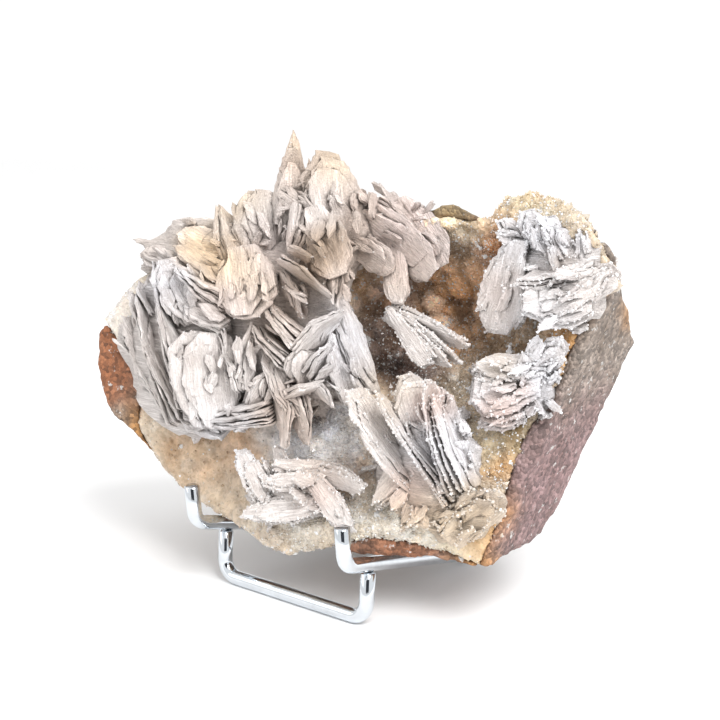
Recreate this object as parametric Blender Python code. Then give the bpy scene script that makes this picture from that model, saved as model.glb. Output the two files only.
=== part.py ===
"""Barite with quartz: a broken piece of iron-stained rock, a crust of quartz druse that lines
its front and the vug in it, clusters of bladed barite grown on the crust, and the chromed
wire stand that the specimen leans in.

Frame: +Z up, the stand's front at -Y, standing on z = 0 with the middle of its box on the
Z axis. Dimensions are in millimetres and become metres in seen() and in_stand().

The specimen is laid out as a person standing at EYE sees it. u runs to the right and v up on
a plane through the specimen's middle, w is the distance in front of that plane, and h is the
distance in front of the specimen's own face, which turns away to the left.
"""

from collections import namedtuple
from math import cos, pi, radians, sin, tan

import bmesh
import bpy
from mathutils import Matrix, Vector, noise

MM = 0.001
GAP = 0.3  # clearance between pieces that touch
SEED = Vector((3.1, 7.7, 1.9))  # offset of the noise that roughens the rock

# Place from which the specimen is laid out
EYE_AZIMUTH = 38.0
EYE_ELEVATION = 13.7
EYE_DISTANCE = 360.0
MIDDLE = Vector((11.0, 24.6, 64.8))  # specimen's middle in the stand's frame
FACE_SLOPE = 0.45  # how fast the face comes forward to the right

# Wire stand
WIRE = 4.0  # diameter
WIRE_FLAT = WIRE / 2 * cos(pi / 8)  # from its axis to a facet of its eight-sided section
HOOK_SPACING = 50.9
HOOK_HEIGHT = 19.6  # wire's centre at the hook's bend, above the table
HOOK_RISE = 10.6
ARM_TILT = 15.7  # degrees down towards the back
ARM_TAPER = 0.09  # the arms close in by this much for each millimetre back
FOOT_BACK = 10.7  # front foot's distance behind the hooks
FOOT_LEAN = 0.9  # its bar lies this much further forward than its tops
BEND = 4.6  # radius of the wire's bends
REST_HEIGHT = 62.0  # back rest's length
REST_TILT = 14.0  # degrees back from upright
REST_TAPER = 0.8  # the back rest's width at its top, as a share of its foot's

# Rock
CRUST = 4.5  # thickness of the quartz crust
RIM_STEP = 1.0  # the rock around the crust lies lower by this much
GRID_STEP = 6.0  # spacing of the crust's facets
GRID_LEFT, GRID_RIGHT = -78.0, 78.0  # u at the ends of the facets' grid
GRID_LOW, GRID_HIGH = -62.0, 60.0  # v at the ends of the facets' grid
FRONT_REACH = 115.0  # w that lies clear in front of everything
BACK_REACH = -140.0  # w that lies clear behind everything
BLOCK = 300.0  # side of the block that the rock is broken from
MERGE = 0.005  # points nearer than this are one
FACE_ALLOWANCE = 1.4  # the slanting face moves out by more, to keep its clearance
CRUST_CLEARANCE = 1.4  # share of the gap between barite and crust, which meet at a slant
ROCK_CLEARANCE = 1.2  # share of the gap between barite and rock
LUMP_WAVES = 2.2  # waves of a lump's roughness for each radius
LUMP_ROUGHNESS = 0.2  # share of a lump's radius
CRUST_ROUGHNESS = 1.2  # height of the crust's unevenness
CRUST_WAVES = 0.13  # waves of the crust's unevenness for each millimetre

# Barite plates
SPLIT_THICKNESS = 6.0  # a stack this thick is made of two plates
HALF_THICKNESS = 0.52  # share of the stack's thickness in each of the two
HALF_OFFSET = 0.42  # distance between the two, as a share of the stack's thickness
HALF_SHORTER = 0.1  # the second plate is shorter by this share
EXTRA_SPREAD = 3.0  # degrees added to the spread of two plates
RIM_SLANT = 0.2  # how far a plate narrows over its thickness
END_SLANT = 0.12  # how far it shortens


def eye_axes():
    """Directions to the viewer's right, up the view and towards the viewer."""
    a, e = radians(EYE_AZIMUTH), radians(EYE_ELEVATION)
    towards = Vector((sin(a) * cos(e), -cos(a) * cos(e), sin(e)))
    right = Vector((cos(a), sin(a), 0))
    return right, towards.cross(right), towards


RIGHT, UP, TOWARDS = eye_axes()
EYE = MIDDLE + TOWARDS * EYE_DISTANCE


def seen(u, v, w):
    """The point that the viewer sees at u, v on the middle plane, w in front of that plane."""
    on_plane = MIDDLE + RIGHT * u + UP * v
    return EYE.lerp(on_plane, (EYE_DISTANCE - w) / EYE_DISTANCE) * MM


def on_face(u, v, h):
    """The point that the viewer sees at u, v, at h in front of the specimen's face."""
    return seen(u, v, FACE_SLOPE * u + h)


def in_stand(x, y, z):
    """A point in the stand's frame: x across, y back from the hooks, z above the table."""
    return Vector((x, y, z)) * MM


# Outline of the quartz crust (u, v), anticlockwise from the lower left
CRUST_OUTLINE = (
    (-65.5, 10.5), (-62.0, 5.0), (-56.5, -3.0), (-56.2, -17.5), (-50.6, -27.0),
    (-44.2, -34.0), (-37.5, -38.5), (-28.0, -44.0), (-25.0, -47.0), (-18.0, -49.6),
    (-8.0, -47.8), (1.0, -45.2), (10.0, -45.8), (22.0, -48.6), (31.0, -52.0), (35.2, -41.0),
    (37.5, -33.0), (41.5, -20.5), (48.8, -9.0), (54.0, 2.6), (57.0, 10.5),
    (62.0, 15.4), (67.3, 19.0), (62.5, 28.0), (59.2, 34.5), (54.0, 39.8),
    (45.0, 42.4), (38.2, 41.0), (34.3, 35.2), (28.0, 35.5), (18.0, 36.5),
    (2.0, 36.5), (-12.0, 36.0), (-28.0, 34.5), (-46.0, 27.5), (-58.0, 19.5),
)

# Hollows and swellings of the crust's surface: (u, v, across, up, depth), depth < 0 is a hollow
RELIEF = (
    (17.0, 13.0, 21.0, 17.0, -25.0),
    (34.0, 8.0, 12.0, 12.0, -7.0),
    (10.0, -4.0, 7.0, 7.0, -8.0),
    (-41.0, -22.0, 13.0, 12.0, -4.0),
    (-27.0, 0.0, 5.0, 7.0, -8.0),
    (-12.0, -13.0, 5.0, 5.0, -6.0),
    (-7.0, -23.0, 9.0, 8.0, 3.5),
    (-14.0, -41.0, 12.0, 7.0, 4.0),
    (0.0, -47.0, 13.0, 7.0, 8.0),
    (20.0, -38.0, 15.0, 10.0, 4.0),
    (50.0, 36.0, 15.0, 9.0, 5.0),
    (46.0, 28.0, 8.0, 7.0, -3.0),
    (-60.0, 12.0, 8.0, 8.0, -3.0),
)


def crust_height(u, v):
    """Height of the crust's surface in front of the face at u, v."""
    height = 0.0
    for centre_u, centre_v, across, up, depth in RELIEF:
        distance = ((u - centre_u) / across) ** 2 + ((v - centre_v) / up) ** 2
        height += depth / (1 + distance**2)
    wave = noise.noise(Vector((u, v, 0)) * CRUST_WAVES + SEED)
    return height + CRUST_ROUGHNESS * wave


# A stack of barite plates: from base to tip (u, v, h), width of its plates, how far they are
# turned edge-on to the viewer (degrees), thickness of the stack, number of plates, the angle
# that they spread through towards the tip and the plates' outline
Stack = namedtuple("Stack", "base tip width turn thick plates spread shape", defaults=["book"])

# Half width at shares of the length, on the two sides of a plate
PLATE_SIDES = {
    "book": (
        ((0.0, 0.6), (0.35, 0.98), (0.8, 0.88), (0.95, 0.45)),
        ((0.04, 0.6), (0.5, 1.0), (0.86, 0.72), (1.0, 0.2)),
    ),
    "blade": (
        ((0.0, 0.35), (0.45, 0.95), (0.9, 0.4)),
        ((0.05, 0.4), (0.6, 1.0), (1.0, 0.12)),
    ),
    "petal": (
        ((0.0, 0.4), (0.36, 0.8), (0.72, 1.0), (0.95, 0.6)),
        ((0.04, 0.35), (0.5, 0.9), (0.84, 0.86), (1.0, 0.3)),
    ),
    "point": (
        ((0.0, 0.8), (0.34, 1.0), (0.66, 0.62), (0.9, 0.2)),
        ((0.04, 0.85), (0.42, 0.86), (0.74, 0.5), (1.0, 0.06)),
    ),
}

MAIN_STACKS = (
    # Left rosette
    Stack((-45, -17, 4), (-58, 20, 6), 17, 72, 6, 6, 8),
    Stack((-42, -13, 9), (-53, 25, 10), 16, 70, 7, 6, 8),
    Stack((-46, -16, 1), (-61, 11, 3), 10, 35, 4, 3, 6),
    Stack((-38, -18, 10), (-41, 8, 15), 20, 12, 7, 4, 6, "petal"),
    Stack((-30, -8, 13), (-28, 10, 15), 6, 50, 3, 2, 5, "blade"),
    Stack((-30, -8, 12), (-36, 8, 14), 8, 78, 5, 4, 22, "blade"),
    Stack((-42, 9, 11), (-50, 26.5, 13), 14, 18, 6, 3, 6, "petal"),
    Stack((-33, 14, 14), (-48, 25, 15), 10, 66, 7, 6, 16),
    Stack((-34, 8, 13), (-45, 15, 14), 9, 30, 5, 3, 8, "petal"),
    Stack((-22, -13, 8), (-42, -15, 9), 12, 74, 7, 6, 10),
    Stack((-34, -18, 7), (-46, -14, 8), 9, 35, 5, 2, 6),
    # Upper left
    Stack((-44, 24, 3), (-56, 28, 4), 8, 30, 5, 2, 5, "petal"),
    Stack((-35, 26, 3), (-46.5, 33.5, 4), 10, 20, 5, 3, 8),
    Stack((-31, 27, 3), (-36.5, 40, 5), 11, 32, 5, 3, 8, "point"),
    Stack((-25, 27, 2), (-27, 44, 4), 14, 14, 6, 3, 6),
    Stack((-26, 15, 10), (-47.5, 29.5, 8), 10, 40, 5, 3, 5),
    Stack((-30, 29, 12), (-28, 10.5, 19), 15, 18, 5, 3, 6, "petal"),
    Stack((-25, 27, 12), (-24, 15, 15), 9, -15, 4, 2, 6, "petal"),
    # Crest
    Stack((-18, 34, 0), (-16.4, 59.2, 2), 10.5, 14, 6, 3, 4, "point"),
    Stack((-13, 34, 1), (-13, 52, 2), 4, 20, 4, 2, 4, "blade"),
    Stack((-5, 26, 1), (-9, 54.5, 3), 14.5, 18, 7, 4, 5, "petal"),
    Stack((3, 28, -3), (-3, 45.5, -2), 8, 42, 5, 3, 6),
    Stack((-20, 44, 5), (-12, 37, 8), 7, 30, 4, 2, 5, "petal"),
    Stack((-12, 39, 9), (-5, 21, 15), 13, 16, 5, 3, 8, "petal"),
    Stack((-14, 40, 8), (-18.5, 26, 13), 9, 76, 7, 4, 12, "blade"),
    Stack((-7, 28, 10), (-6, 13, 14), 7, 60, 5, 3, 10, "blade"),
    # Lattice of thin blades
    Stack((-21, 26, 14), (-6.5, 16.5, 15), 13, 76, 2.2, 2, 3, "blade"),
    Stack((-20, 23, 11), (-15, 10.5, 12), 10, 70, 3, 2, 5, "blade"),
    Stack((-15, 4, 12), (-25, 16, 13), 12, 80, 6, 4, 12, "blade"),
    Stack((-18.5, -1, 12), (-28, 10, 13), 12, 80, 5, 4, 10, "blade"),
    Stack((-17, 2, 12), (-3.8, 12.5, 15), 9, 50, 4, 3, 6, "blade"),
    Stack((-13.5, -4, 9), (-6.5, 5, 12), 8, 72, 5, 3, 14, "blade"),
    Stack((-2.5, -12, 5), (-7.5, 8, 12), 9, 38, 3.5, 2, 4, "blade"),
    Stack((3.5, -9, 1), (-6, 16, 10), 10, 45, 4, 2, 4, "petal"),
    Stack((-15.5, -6, 8), (-14, 3, 13), 10, 20, 4, 3, 10, "petal"),
    Stack((-19.5, -9.5, 9), (-9, -6, 11), 9, 75, 3.2, 2, 6, "blade"),
    Stack((-12, -5, 9), (-6.5, -12.5, 9), 9, 72, 2.4, 2, 5, "blade"),
    Stack((-15.5, -15, 7), (-24, 3, 11), 10, 42, 4, 3, 6),
    Stack((-29, -13, 8), (-22, -3, 10), 9, 35, 4, 3, 14, "petal"),
    Stack((-20, -4, 8), (-19.5, -22.8, 8), 9, 66, 5, 4, 8),
    Stack((-17, -6, 7), (-13.8, -22.4, 8), 9, 60, 5, 5, 12),
    # Fan of petals over the vug
    Stack((10, 41, -8), (21.5, 24, -4), 12, 22, 4, 3, 5, "petal"),
    Stack((5, 42, -5), (18.5, 28, -2), 7, 70, 2.6, 2, 4, "blade"),
    Stack((1, 39, -3), (20, 22.3, 2), 14, 42, 4.5, 4, 8, "petal"),
    Stack((8, 32, -3), (10, 14.2, 2), 8, 25, 3, 2, 4, "petal"),
    Stack((-3, 32, -2), (8.5, 23.5, 4), 9, 32, 4, 3, 8, "petal"),
    Stack((12, 31, -8), (16.5, 20, -6), 8, 30, 4, 2, 6),
)

MAIN_ROOTS = (
    ((-42, 3, 0), (19, 22, 10)),
    ((-25, 8, 0), (20, 23, 9)),
    ((-37, 26, -2), (18, 10, 8)),
    ((-11, 33, -3), (13, 16, 8)),
    ((-12, 4, -3), (11, 18, 7)),
    ((6, 35, -10), (10, 7, 8)),
)

VUG_FAN_STACKS = (
    Stack((7, 13.8, -2), (28.4, 3.4, 0), 7, 60, 3, 2, 3),
    Stack((7, 13.2, -1), (26.6, -0.9, 0), 7, 68, 3, 2, 3),
    Stack((7, 12.6, -1), (22.8, -2.2, 1), 7, 58, 3, 2, 3),
    Stack((7.4, 13.2, 0), (17.8, -1.6, 1), 7, 34, 2.6, 2, 3, "petal"),
    Stack((12, 9, -4), (20, 2, -19), 8, 60, 6, 2, 8),
)

FRONT_STACKS = (
    Stack((21, -39, 2), (-3, -7, 13), 15, 48, 5, 4, 6, "petal"),
    Stack((25, -37, 5), (4, -8, 16), 12, 72, 5, 4, 7),
    Stack((27, -34, 6), (17, -5, 15), 14, 78, 6, 6, 10),
    Stack((24, -33, 3), (13, -5, 10), 17, 10, 6, 3, 8, "petal"),
    Stack((28, -34, 3), (22, -7, 10), 9, 56, 5, 3, 5),
    Stack((19, -18, 0), (11, -3.5, 6), 10, 18, 5, 2, 6, "petal"),
    Stack((14, -27, 6), (3.6, -38, 9), 9, 30, 5, 3, 8, "point"),
    Stack((18, -33, 5), (10, -44.5, 8), 8, 35, 4, 2, 6, "point"),
    Stack((22, -45, 3), (37, -34, 5), 12, 30, 6, 3, 10),
)
FRONT_ROOTS = (((18, -29, 1), (14, 16, 9)), ((24, -40, 0), (12, 8, 7)))

RIGHT_STACKS = (
    Stack((47, -7, 0), (28, -8, 6), 17, 14, 6, 4, 6, "petal"),
    Stack((49, -2, 0), (29, -1.5, 5), 9, 30, 5, 3, 6),
    Stack((43, -5, 0), (53, 5, 2), 9, 20, 5, 3, 8, "petal"),
    Stack((43, -13, 0), (30, -16, 4), 8, 30, 5, 4, 8),
)
RIGHT_ROOTS = (((40.5, -7, -3), (9.5, 8.5, 6)),)

TOP_RIGHT_STACKS = (
    Stack((49, 27, 0), (43, 39, 5), 10, 14, 5, 3, 8, "petal"),
    Stack((55, 23, 0), (49, 37.5, 5), 9, 24, 5, 3, 6, "petal"),
    Stack((59, 22, -1), (57.5, 33.5, 3), 8, 40, 4, 2, 6),
    Stack((43, 30, 0), (35.5, 36.5, 3), 6, 30, 4, 2, 6),
    Stack((64, 21, 0), (41, 14, 6), 15, 18, 6, 5, 8, "petal"),
    Stack((61, 23, 0), (39, 20, 5), 9, 62, 6, 5, 8),
    Stack((60, 14, 0), (46, 10, 5), 8, 26, 5, 3, 6),
    Stack((59, 16, 0), (66, 23.5, 2), 9, 25, 5, 3, 6, "petal"),
    # Oval plate at the right of the vug
    Stack((41.2, 31.5, 3), (34, 6.5, -4), 13.5, 206, 3, 2, 4, "petal"),
    Stack((44, 14, -6), (37, 24, -1), 8, 30, 4, 2, 6),
)
TOP_RIGHT_ROOTS = (((52, 21, -3), (13, 12, 7)),)

LOW_STACKS = (
    Stack((-23, -39, 6), (-30.5, -22.5, 8), 7.5, 28, 5, 3, 6, "petal"),
    Stack((-7, -28.5, 4), (-22.5, -27.5, 8), 6, 20, 4, 3, 6),
    Stack((-8, -31, 7), (-25, -31.5, 10), 6, 25, 4, 2, 5),
    Stack((-10, -27.5, 6), (1.2, -33, 10), 6, 30, 4, 2, 5),
    Stack((-8, -37, 7), (-30.5, -39.5, 10), 8, 30, 4.5, 4, 6),
    Stack((-12, -30, 7), (-2.4, -44.8, 13), 7, 28, 4.5, 3, 5),
)
LOW_ROOTS = (((-16, -34, 4), (9, 8, 5)),)

# Flat breaks that bound the rock: two points (u, v) that the viewer sees on the outline, with
# the rock to the left of the line between them, where the edge lies (w), and how far the
# break leans back from the line of sight (degrees)
OUTLINE_BREAKS = (
    ((-66.8, 13.0), (-68.2, 3.5), -31, 25),
    ((-68.2, 4.0), (-67.6, -8.0), -31, 35),
    ((-67.0, -7.0), (-64.0, -15.5), -30, 20),
    ((-64.0, -15.5), (-58.0, -24.5), -28, 32),
    ((-58.5, -24.0), (-46.0, -32.5), -24, 22),
    ((-47.0, -31.6), (-38.0, -40.0), -20, 12),
    ((-38.0, -40.5), (-22.0, -48.0), -14, 10),
    ((31.0, -52.2), (43.8, -52.2), 12, 25),
    ((43.4, -53.0), (48.4, -42.0), -5, 8),
    ((48.2, -42.5), (58.0, -29.0), -5, 22),
    ((57.4, -30.0), (61.5, -19.0), -5, 8),
    ((61.0, -20.5), (67.6, -5.0), -5, 24),
    ((67.2, -6.0), (72.2, 9.4), -3, 12),
    ((72.4, 9.0), (66.2, 20.0), 0, 22),
    ((67.0, 17.0), (60.5, 30.5), 14, 9),
    ((62.0, 28.5), (53.0, 38.6), 22, 16),
    ((54.5, 38.0), (42.0, 42.0), 20, 20),
    ((45.0, 41.6), (18.0, 40.6), 8, 20),
    ((22.0, 40.8), (-28.0, 36.0), -5, 28),
    ((-26.0, 36.0), (-66.0, 13.5), -22, 28),
)
# Notch between the rock's hump and the rim at the upper right (u, v)
NOTCH = ((33.0, 35.0), (39.5, 41.5), (41.0, 60.0), (17.0, 60.0), (24.0, 40.0))
# The broken side at the right, through three points (u, v, w)
SIDE_BREAK = ((60.0, 13.0, 27.0), (34.0, -50.0, 15.3), (61.7, -17.0, -6.0))
# Breaks at the back and the underside: a point in the stand's frame and the outward normal
REAR_BREAKS = (
    ((-30, 62, 60), (-0.55, 0.8, 0.25)),
    ((64, 77, 70), (0.4, 0.9, 0.1)),
    ((10, 80, 92), (0.1, 0.66, 0.74)),
    ((-44, 44, 18), (-0.6, 0.35, -0.72)),
    ((58, 50, 18), (0.55, 0.4, -0.73)),
)


def mesh_object(name, mesh):
    """An object of the specimen that holds the mesh."""
    thing = bpy.data.objects.new(name, mesh)
    bpy.data.collections["Barite with quartz"].objects.link(thing)
    return thing


def from_bmesh(name, bm):
    """An object made from a bmesh, which is freed."""
    bmesh.ops.recalc_face_normals(bm, faces=bm.faces)
    mesh = bpy.data.meshes.new(name)
    bm.to_mesh(mesh)
    bm.free()
    return mesh_object(name, mesh)


def helper(thing):
    """Moves a cutter to its own collection and keeps it out of the render."""
    for collection in list(thing.users_collection):
        collection.objects.unlink(thing)
    bpy.data.collections["Cutters"].objects.link(thing)
    thing.hide_render = True
    thing.display_type = "WIRE"
    return thing


def baked(thing):
    """Applies the object's modifiers."""
    bpy.context.view_layer.update()
    graph = bpy.context.evaluated_depsgraph_get()
    mesh = bpy.data.meshes.new_from_object(thing.evaluated_get(graph))
    thing.modifiers.clear()
    thing.data = mesh
    mesh.name = thing.name
    return thing


def combine(thing, other, operation):
    """Joins the object with another, cuts it or keeps what they share, and drops the other."""
    step = thing.modifiers.new(operation.title(), "BOOLEAN")
    step.object = other
    step.operation = operation
    step.solver = "EXACT"
    baked(thing)
    bpy.data.objects.remove(other)
    return thing


def united(name, pieces):
    """One solid from several that overlap."""
    group = bpy.data.collections.new(name + " pieces")
    bpy.context.scene.collection.children.link(group)
    first, *rest = pieces
    for piece in rest:
        piece.users_collection[0].objects.unlink(piece)
        group.objects.link(piece)
    step = first.modifiers.new("Union", "BOOLEAN")
    step.operand_type = "COLLECTION"
    step.collection = group
    step.operation = "UNION"
    step.solver = "EXACT"
    baked(first)
    for piece in rest:
        bpy.data.objects.remove(piece)
    bpy.data.collections.remove(group)
    first.name = name
    return first


def tidied(thing):
    """Merges points that a cut has left together and drops loose chips."""
    bm = bmesh.new()
    bm.from_mesh(thing.data)
    bmesh.ops.remove_doubles(bm, verts=bm.verts, dist=MERGE * MM)
    bmesh.ops.triangulate(bm, faces=bm.faces)
    left = set(bm.verts)
    islands = []
    while left:
        island, fringe = set(), {left.pop()}
        while fringe:
            island |= fringe
            fringe = {e.other_vert(v) for v in fringe for e in v.link_edges} - island
        left -= island
        islands.append(island)
    biggest = max(islands, key=len)
    loose = [v for v in bm.verts if v not in biggest]
    bmesh.ops.delete(bm, geom=loose)
    bm.to_mesh(thing.data)
    bm.free()
    return thing


def prism(name, outline, near, far):
    """The part of the view inside an outline (u, v), from w = far to w = near."""
    bm = bmesh.new()
    count = len(outline)
    front = [bm.verts.new(seen(u, v, near)) for u, v in outline]
    back = [bm.verts.new(seen(u, v, far)) for u, v in outline]
    bm.faces.new(front)
    bm.faces.new(back[::-1])
    for i in range(count):
        j = (i + 1) % count
        bm.faces.new((front[j], front[i], back[i], back[j]))
    return helper(from_bmesh(name, bm))


def swollen(outline, by):
    """The outline moved outwards along its own normals."""
    points = [Vector(p) for p in outline]
    moved = []
    for i, point in enumerate(points):
        along = (points[(i + 1) % len(points)] - points[i - 1]).normalized()
        moved.append(tuple(point + Vector((along.y, -along.x)) * by))
    return moved


def relief_body(name, front, back, outline):
    """A body between two surfaces w(u, v), trimmed to an outline if there is one."""
    columns = round((GRID_RIGHT - GRID_LEFT) / GRID_STEP)
    rows = round((GRID_HIGH - GRID_LOW) / GRID_STEP)
    bm = bmesh.new()
    layers = []
    for surface in (front, back):
        layer = []
        for j in range(rows + 1):
            for i in range(columns + 1):
                u = GRID_LEFT + (GRID_RIGHT - GRID_LEFT) * i / columns
                v = GRID_LOW + (GRID_HIGH - GRID_LOW) * j / rows
                layer.append(bm.verts.new(seen(u, v, surface(u, v))))
        layers.append(layer)
    across = columns + 1
    for layer in layers:
        for j in range(rows):
            for i in range(columns):
                a = j * across + i
                bm.faces.new((layer[a], layer[a + 1], layer[a + across + 1]))
                bm.faces.new((layer[a], layer[a + across + 1], layer[a + across]))
    bottom = list(range(columns + 1))
    right = [j * across + columns for j in range(rows + 1)]
    top = [rows * across + i for i in range(columns, -1, -1)]
    left = [j * across for j in range(rows, -1, -1)]
    rim = bottom[:-1] + right[:-1] + top[:-1] + left[:-1]
    for a, b in zip(rim, rim[1:] + rim[:1]):
        bm.faces.new((layers[0][a], layers[0][b], layers[1][b], layers[1][a]))
    body = from_bmesh(name, bm)
    if outline:
        edge = prism(name + " edge", outline, FRONT_REACH, BACK_REACH)
        combine(body, edge, "INTERSECT")
    return body


def crust_front(u, v):
    """Where the crust's surface lies (w)."""
    return FACE_SLOPE * u + crust_height(u, v)


def crust_back(u, v):
    """Where the crust's back lies (w)."""
    return crust_front(u, v) - CRUST


def plate(stack, offset, angle, thickness, length):
    """One barite plate: flat faces, slanting sides and an outline that narrows to its ends."""
    base, tip = on_face(*stack.base), on_face(*stack.tip)
    along = (tip - base).normalized()
    facing = (TOWARDS - along * TOWARDS.dot(along)).normalized()
    normal = Matrix.Rotation(radians(stack.turn), 3, along) @ facing
    across = normal.cross(along)
    reach = (tip - base).length * length
    half = stack.width * MM / 2
    left, right = PLATE_SIDES[stack.shape]
    rim = [(x, -y) for x, y in left] + [(x, y) for x, y in reversed(right)]
    spread = Matrix.Rotation(angle, 3, across)
    bm = bmesh.new()
    rings = []
    for level, shorter, narrower in ((-0.5, 0, 0), (0.5, END_SLANT, RIM_SLANT)):
        ring = []
        for x, y in rim:
            x = 0.5 + (x - 0.5) * (1 - shorter)
            y = y * (1 - narrower)
            place = along * x * reach + across * y * half + normal * level * thickness
            ring.append(bm.verts.new(base + normal * offset + spread @ place))
        rings.append(ring)
    count = len(rim)
    lower, upper = rings
    bm.faces.new(lower[::-1])
    bm.faces.new(upper)
    for i in range(count):
        j = (i + 1) % count
        bm.faces.new((lower[i], lower[j], upper[j], upper[i]))
    return from_bmesh("plate", bm)


def stack_solids(stack):
    """The plates of one stack, as separate solids that overlap."""
    count = 1 if stack.thick < SPLIT_THICKNESS else 2
    solids = []
    for i in range(count):
        share = i - (count - 1) / 2
        offset = share * stack.thick * MM * HALF_OFFSET
        angle = share * radians(stack.spread + EXTRA_SPREAD)
        thickness = stack.thick * MM * (1 if count == 1 else HALF_THICKNESS)
        solids.append(plate(stack, offset, angle, thickness, 1 - HALF_SHORTER * i))
    return solids


def root_solid(centre, radii):
    """A lump of massive barite at the foot of a cluster."""
    bm = bmesh.new()
    bmesh.ops.create_icosphere(bm, subdivisions=2, radius=1)
    for vertex in bm.verts:
        place = vertex.co * LUMP_WAVES + SEED + Vector(centre) * 0.1
        rough = 1 + LUMP_ROUGHNESS * noise.noise(place)
        u = centre[0] + vertex.co.x * radii[0] * rough
        v = centre[1] + vertex.co.y * radii[1] * rough
        vertex.co = on_face(u, v, centre[2] + vertex.co.z * radii[2] * rough)
    return from_bmesh("root", bm)


def cluster(name, stacks, roots=()):
    """A cluster of barite: its plates and the lumps that they grow from, in one solid."""
    pieces = [root_solid(centre, radii) for centre, radii in roots]
    for stack in stacks:
        pieces += stack_solids(stack)
    return united(name, pieces)


def material(name, colour, roughness, metallic=0.0):
    """A plain finish."""
    finish = bpy.data.materials.new(name)
    finish.use_nodes = True
    shader = finish.node_tree.nodes["Principled BSDF"]
    shader.inputs["Base Color"].default_value = (*colour, 1)
    shader.inputs["Roughness"].default_value = roughness
    shader.inputs["Metallic"].default_value = metallic
    return finish


def chip(bm, point, normal):
    """Breaks off what lies beyond a plane."""
    cut = bmesh.ops.bisect_plane(
        bm,
        geom=bm.verts[:] + bm.edges[:] + bm.faces[:],
        plane_co=point,
        plane_no=normal,
        clear_outer=True,
    )
    edges = [e for e in cut["geom_cut"] if isinstance(e, bmesh.types.BMEdge)]
    if edges:
        bmesh.ops.contextual_create(bm, geom=edges)


def outline_plane(first, second, w, lean):
    """Point and outward normal of a break that the viewer sees as a line."""
    start, end = seen(*first, w), seen(*second, w)
    along = (end - start).normalized()
    sight = (start - EYE * MM).normalized()
    outward = sight.cross(along).normalized()
    return start, Matrix.Rotation(radians(lean), 3, along) @ outward


def plane_through(points):
    """Point and normal, turned to the viewer, of the plane through three points."""
    a, b, c = (seen(*p) for p in points)
    normal = (b - a).cross(c - a).normalized()
    return a, normal if normal.dot(TOWARDS) > 0 else -normal


def heel():
    """Corner where an arm's axis turns up into the back rest, and the way into that corner.

    The corner lies low enough for the wire's rounded bend to stand on the table.
    """
    tilt, lean = radians(ARM_TILT), radians(REST_TILT)
    arm, rest = Vector((0, -cos(tilt), sin(tilt))), Vector((0, sin(lean), cos(lean)))
    inward = (arm + rest).normalized() / sin(arm.angle(rest) / 2)
    height = WIRE_FLAT + BEND - BEND * inward.z
    return Vector((0, (HOOK_HEIGHT - height) / tan(tilt), height)), inward


def hull(name, extra):
    """The rock's flat breaks and its face, all moved outwards by a distance."""
    bm = bmesh.new()
    bmesh.ops.create_cube(bm, size=BLOCK * MM)
    bmesh.ops.translate(bm, verts=bm.verts, vec=MIDDLE * MM)
    planes = [outline_plane(*line) for line in OUTLINE_BREAKS]
    planes.append(plane_through(SIDE_BREAK))
    tilt = radians(ARM_TILT)
    seat = HOOK_HEIGHT + (WIRE / 2 + GAP) / cos(tilt)
    planes.append((in_stand(0, 0, seat), Vector((0, -sin(tilt), -cos(tilt)))))
    lean = radians(REST_TILT)
    corner, inward = heel()
    away = Vector((0, cos(lean), -sin(lean)))
    planes.append(((corner - away * (WIRE / 2 + GAP)) * MM, away))
    centre = corner + inward * BEND
    away = -inward.normalized()
    planes.append(((centre + away * (BEND - WIRE / 2 - GAP)) * MM, away))
    planes += [(in_stand(*point), Vector(normal).normalized()) for point, normal in REAR_BREAKS]
    for point, normal in planes:
        chip(bm, point + normal * extra * MM, normal)
    body = from_bmesh(name, bm)
    front = relief_body(
        name + " face",
        lambda u, v: crust_front(u, v) - RIM_STEP + extra * FACE_ALLOWANCE,
        lambda u, v: BACK_REACH,
        None,
    )
    combine(body, helper(front), "INTERSECT")
    notch = prism(name + " notch", NOTCH, FRONT_REACH, BACK_REACH)
    return combine(body, notch, "DIFFERENCE")


def rock():
    """The rock under the crust, with the seat that the crust lies in."""
    seat = relief_body(
        "seat",
        lambda u, v: FRONT_REACH,
        lambda u, v: crust_back(u, v) - GAP,
        swollen(CRUST_OUTLINE, GAP),
    )
    return combine(hull("matrix_rock", 0), helper(seat), "DIFFERENCE")


def rounded(points, radius, steps=4):
    """A path through the points with its corners rounded."""
    path = [points[0]]
    for before, corner, after in zip(points, points[1:], points[2:]):
        back, on = (before - corner).normalized(), (after - corner).normalized()
        half = back.angle(on) / 2
        reach = radius / tan(half)
        centre = corner + (back + on).normalized() * radius / sin(half)
        start = corner + back * reach - centre
        turn = Matrix.Rotation((pi - 2 * half) / steps, 3, back.cross(on))
        for _ in range(steps + 1):
            path.append(centre + start)
            start = turn.inverted() @ start
    path.append(points[-1])
    return path


def wire(name, points, radius, turn=0.0):
    """A bent wire with its ends cut square, turned so that a facet faces the table."""
    path = rounded(points, radius)
    curve = bpy.data.curves.new(name, "CURVE")
    curve.dimensions = "3D"
    curve.bevel_depth = WIRE * MM / 2
    curve.bevel_resolution = 2
    curve.use_fill_caps = True
    spline = curve.splines.new("POLY")
    spline.points.add(len(path) - 1)
    for point, place in zip(spline.points, path):
        point.co = (*(place * MM), 1)
        point.tilt = pi / 8 + turn
    thing = bpy.data.objects.new(name, curve)
    bpy.data.collections["Barite with quartz"].objects.link(thing)
    return thing


def arm_point(back, side):
    """A point on an arm's axis, at a distance behind the hooks."""
    across = side * (HOOK_SPACING / 2 - ARM_TAPER * back)
    return Vector((across, back, HOOK_HEIGHT - tan(radians(ARM_TILT)) * back))


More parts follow.
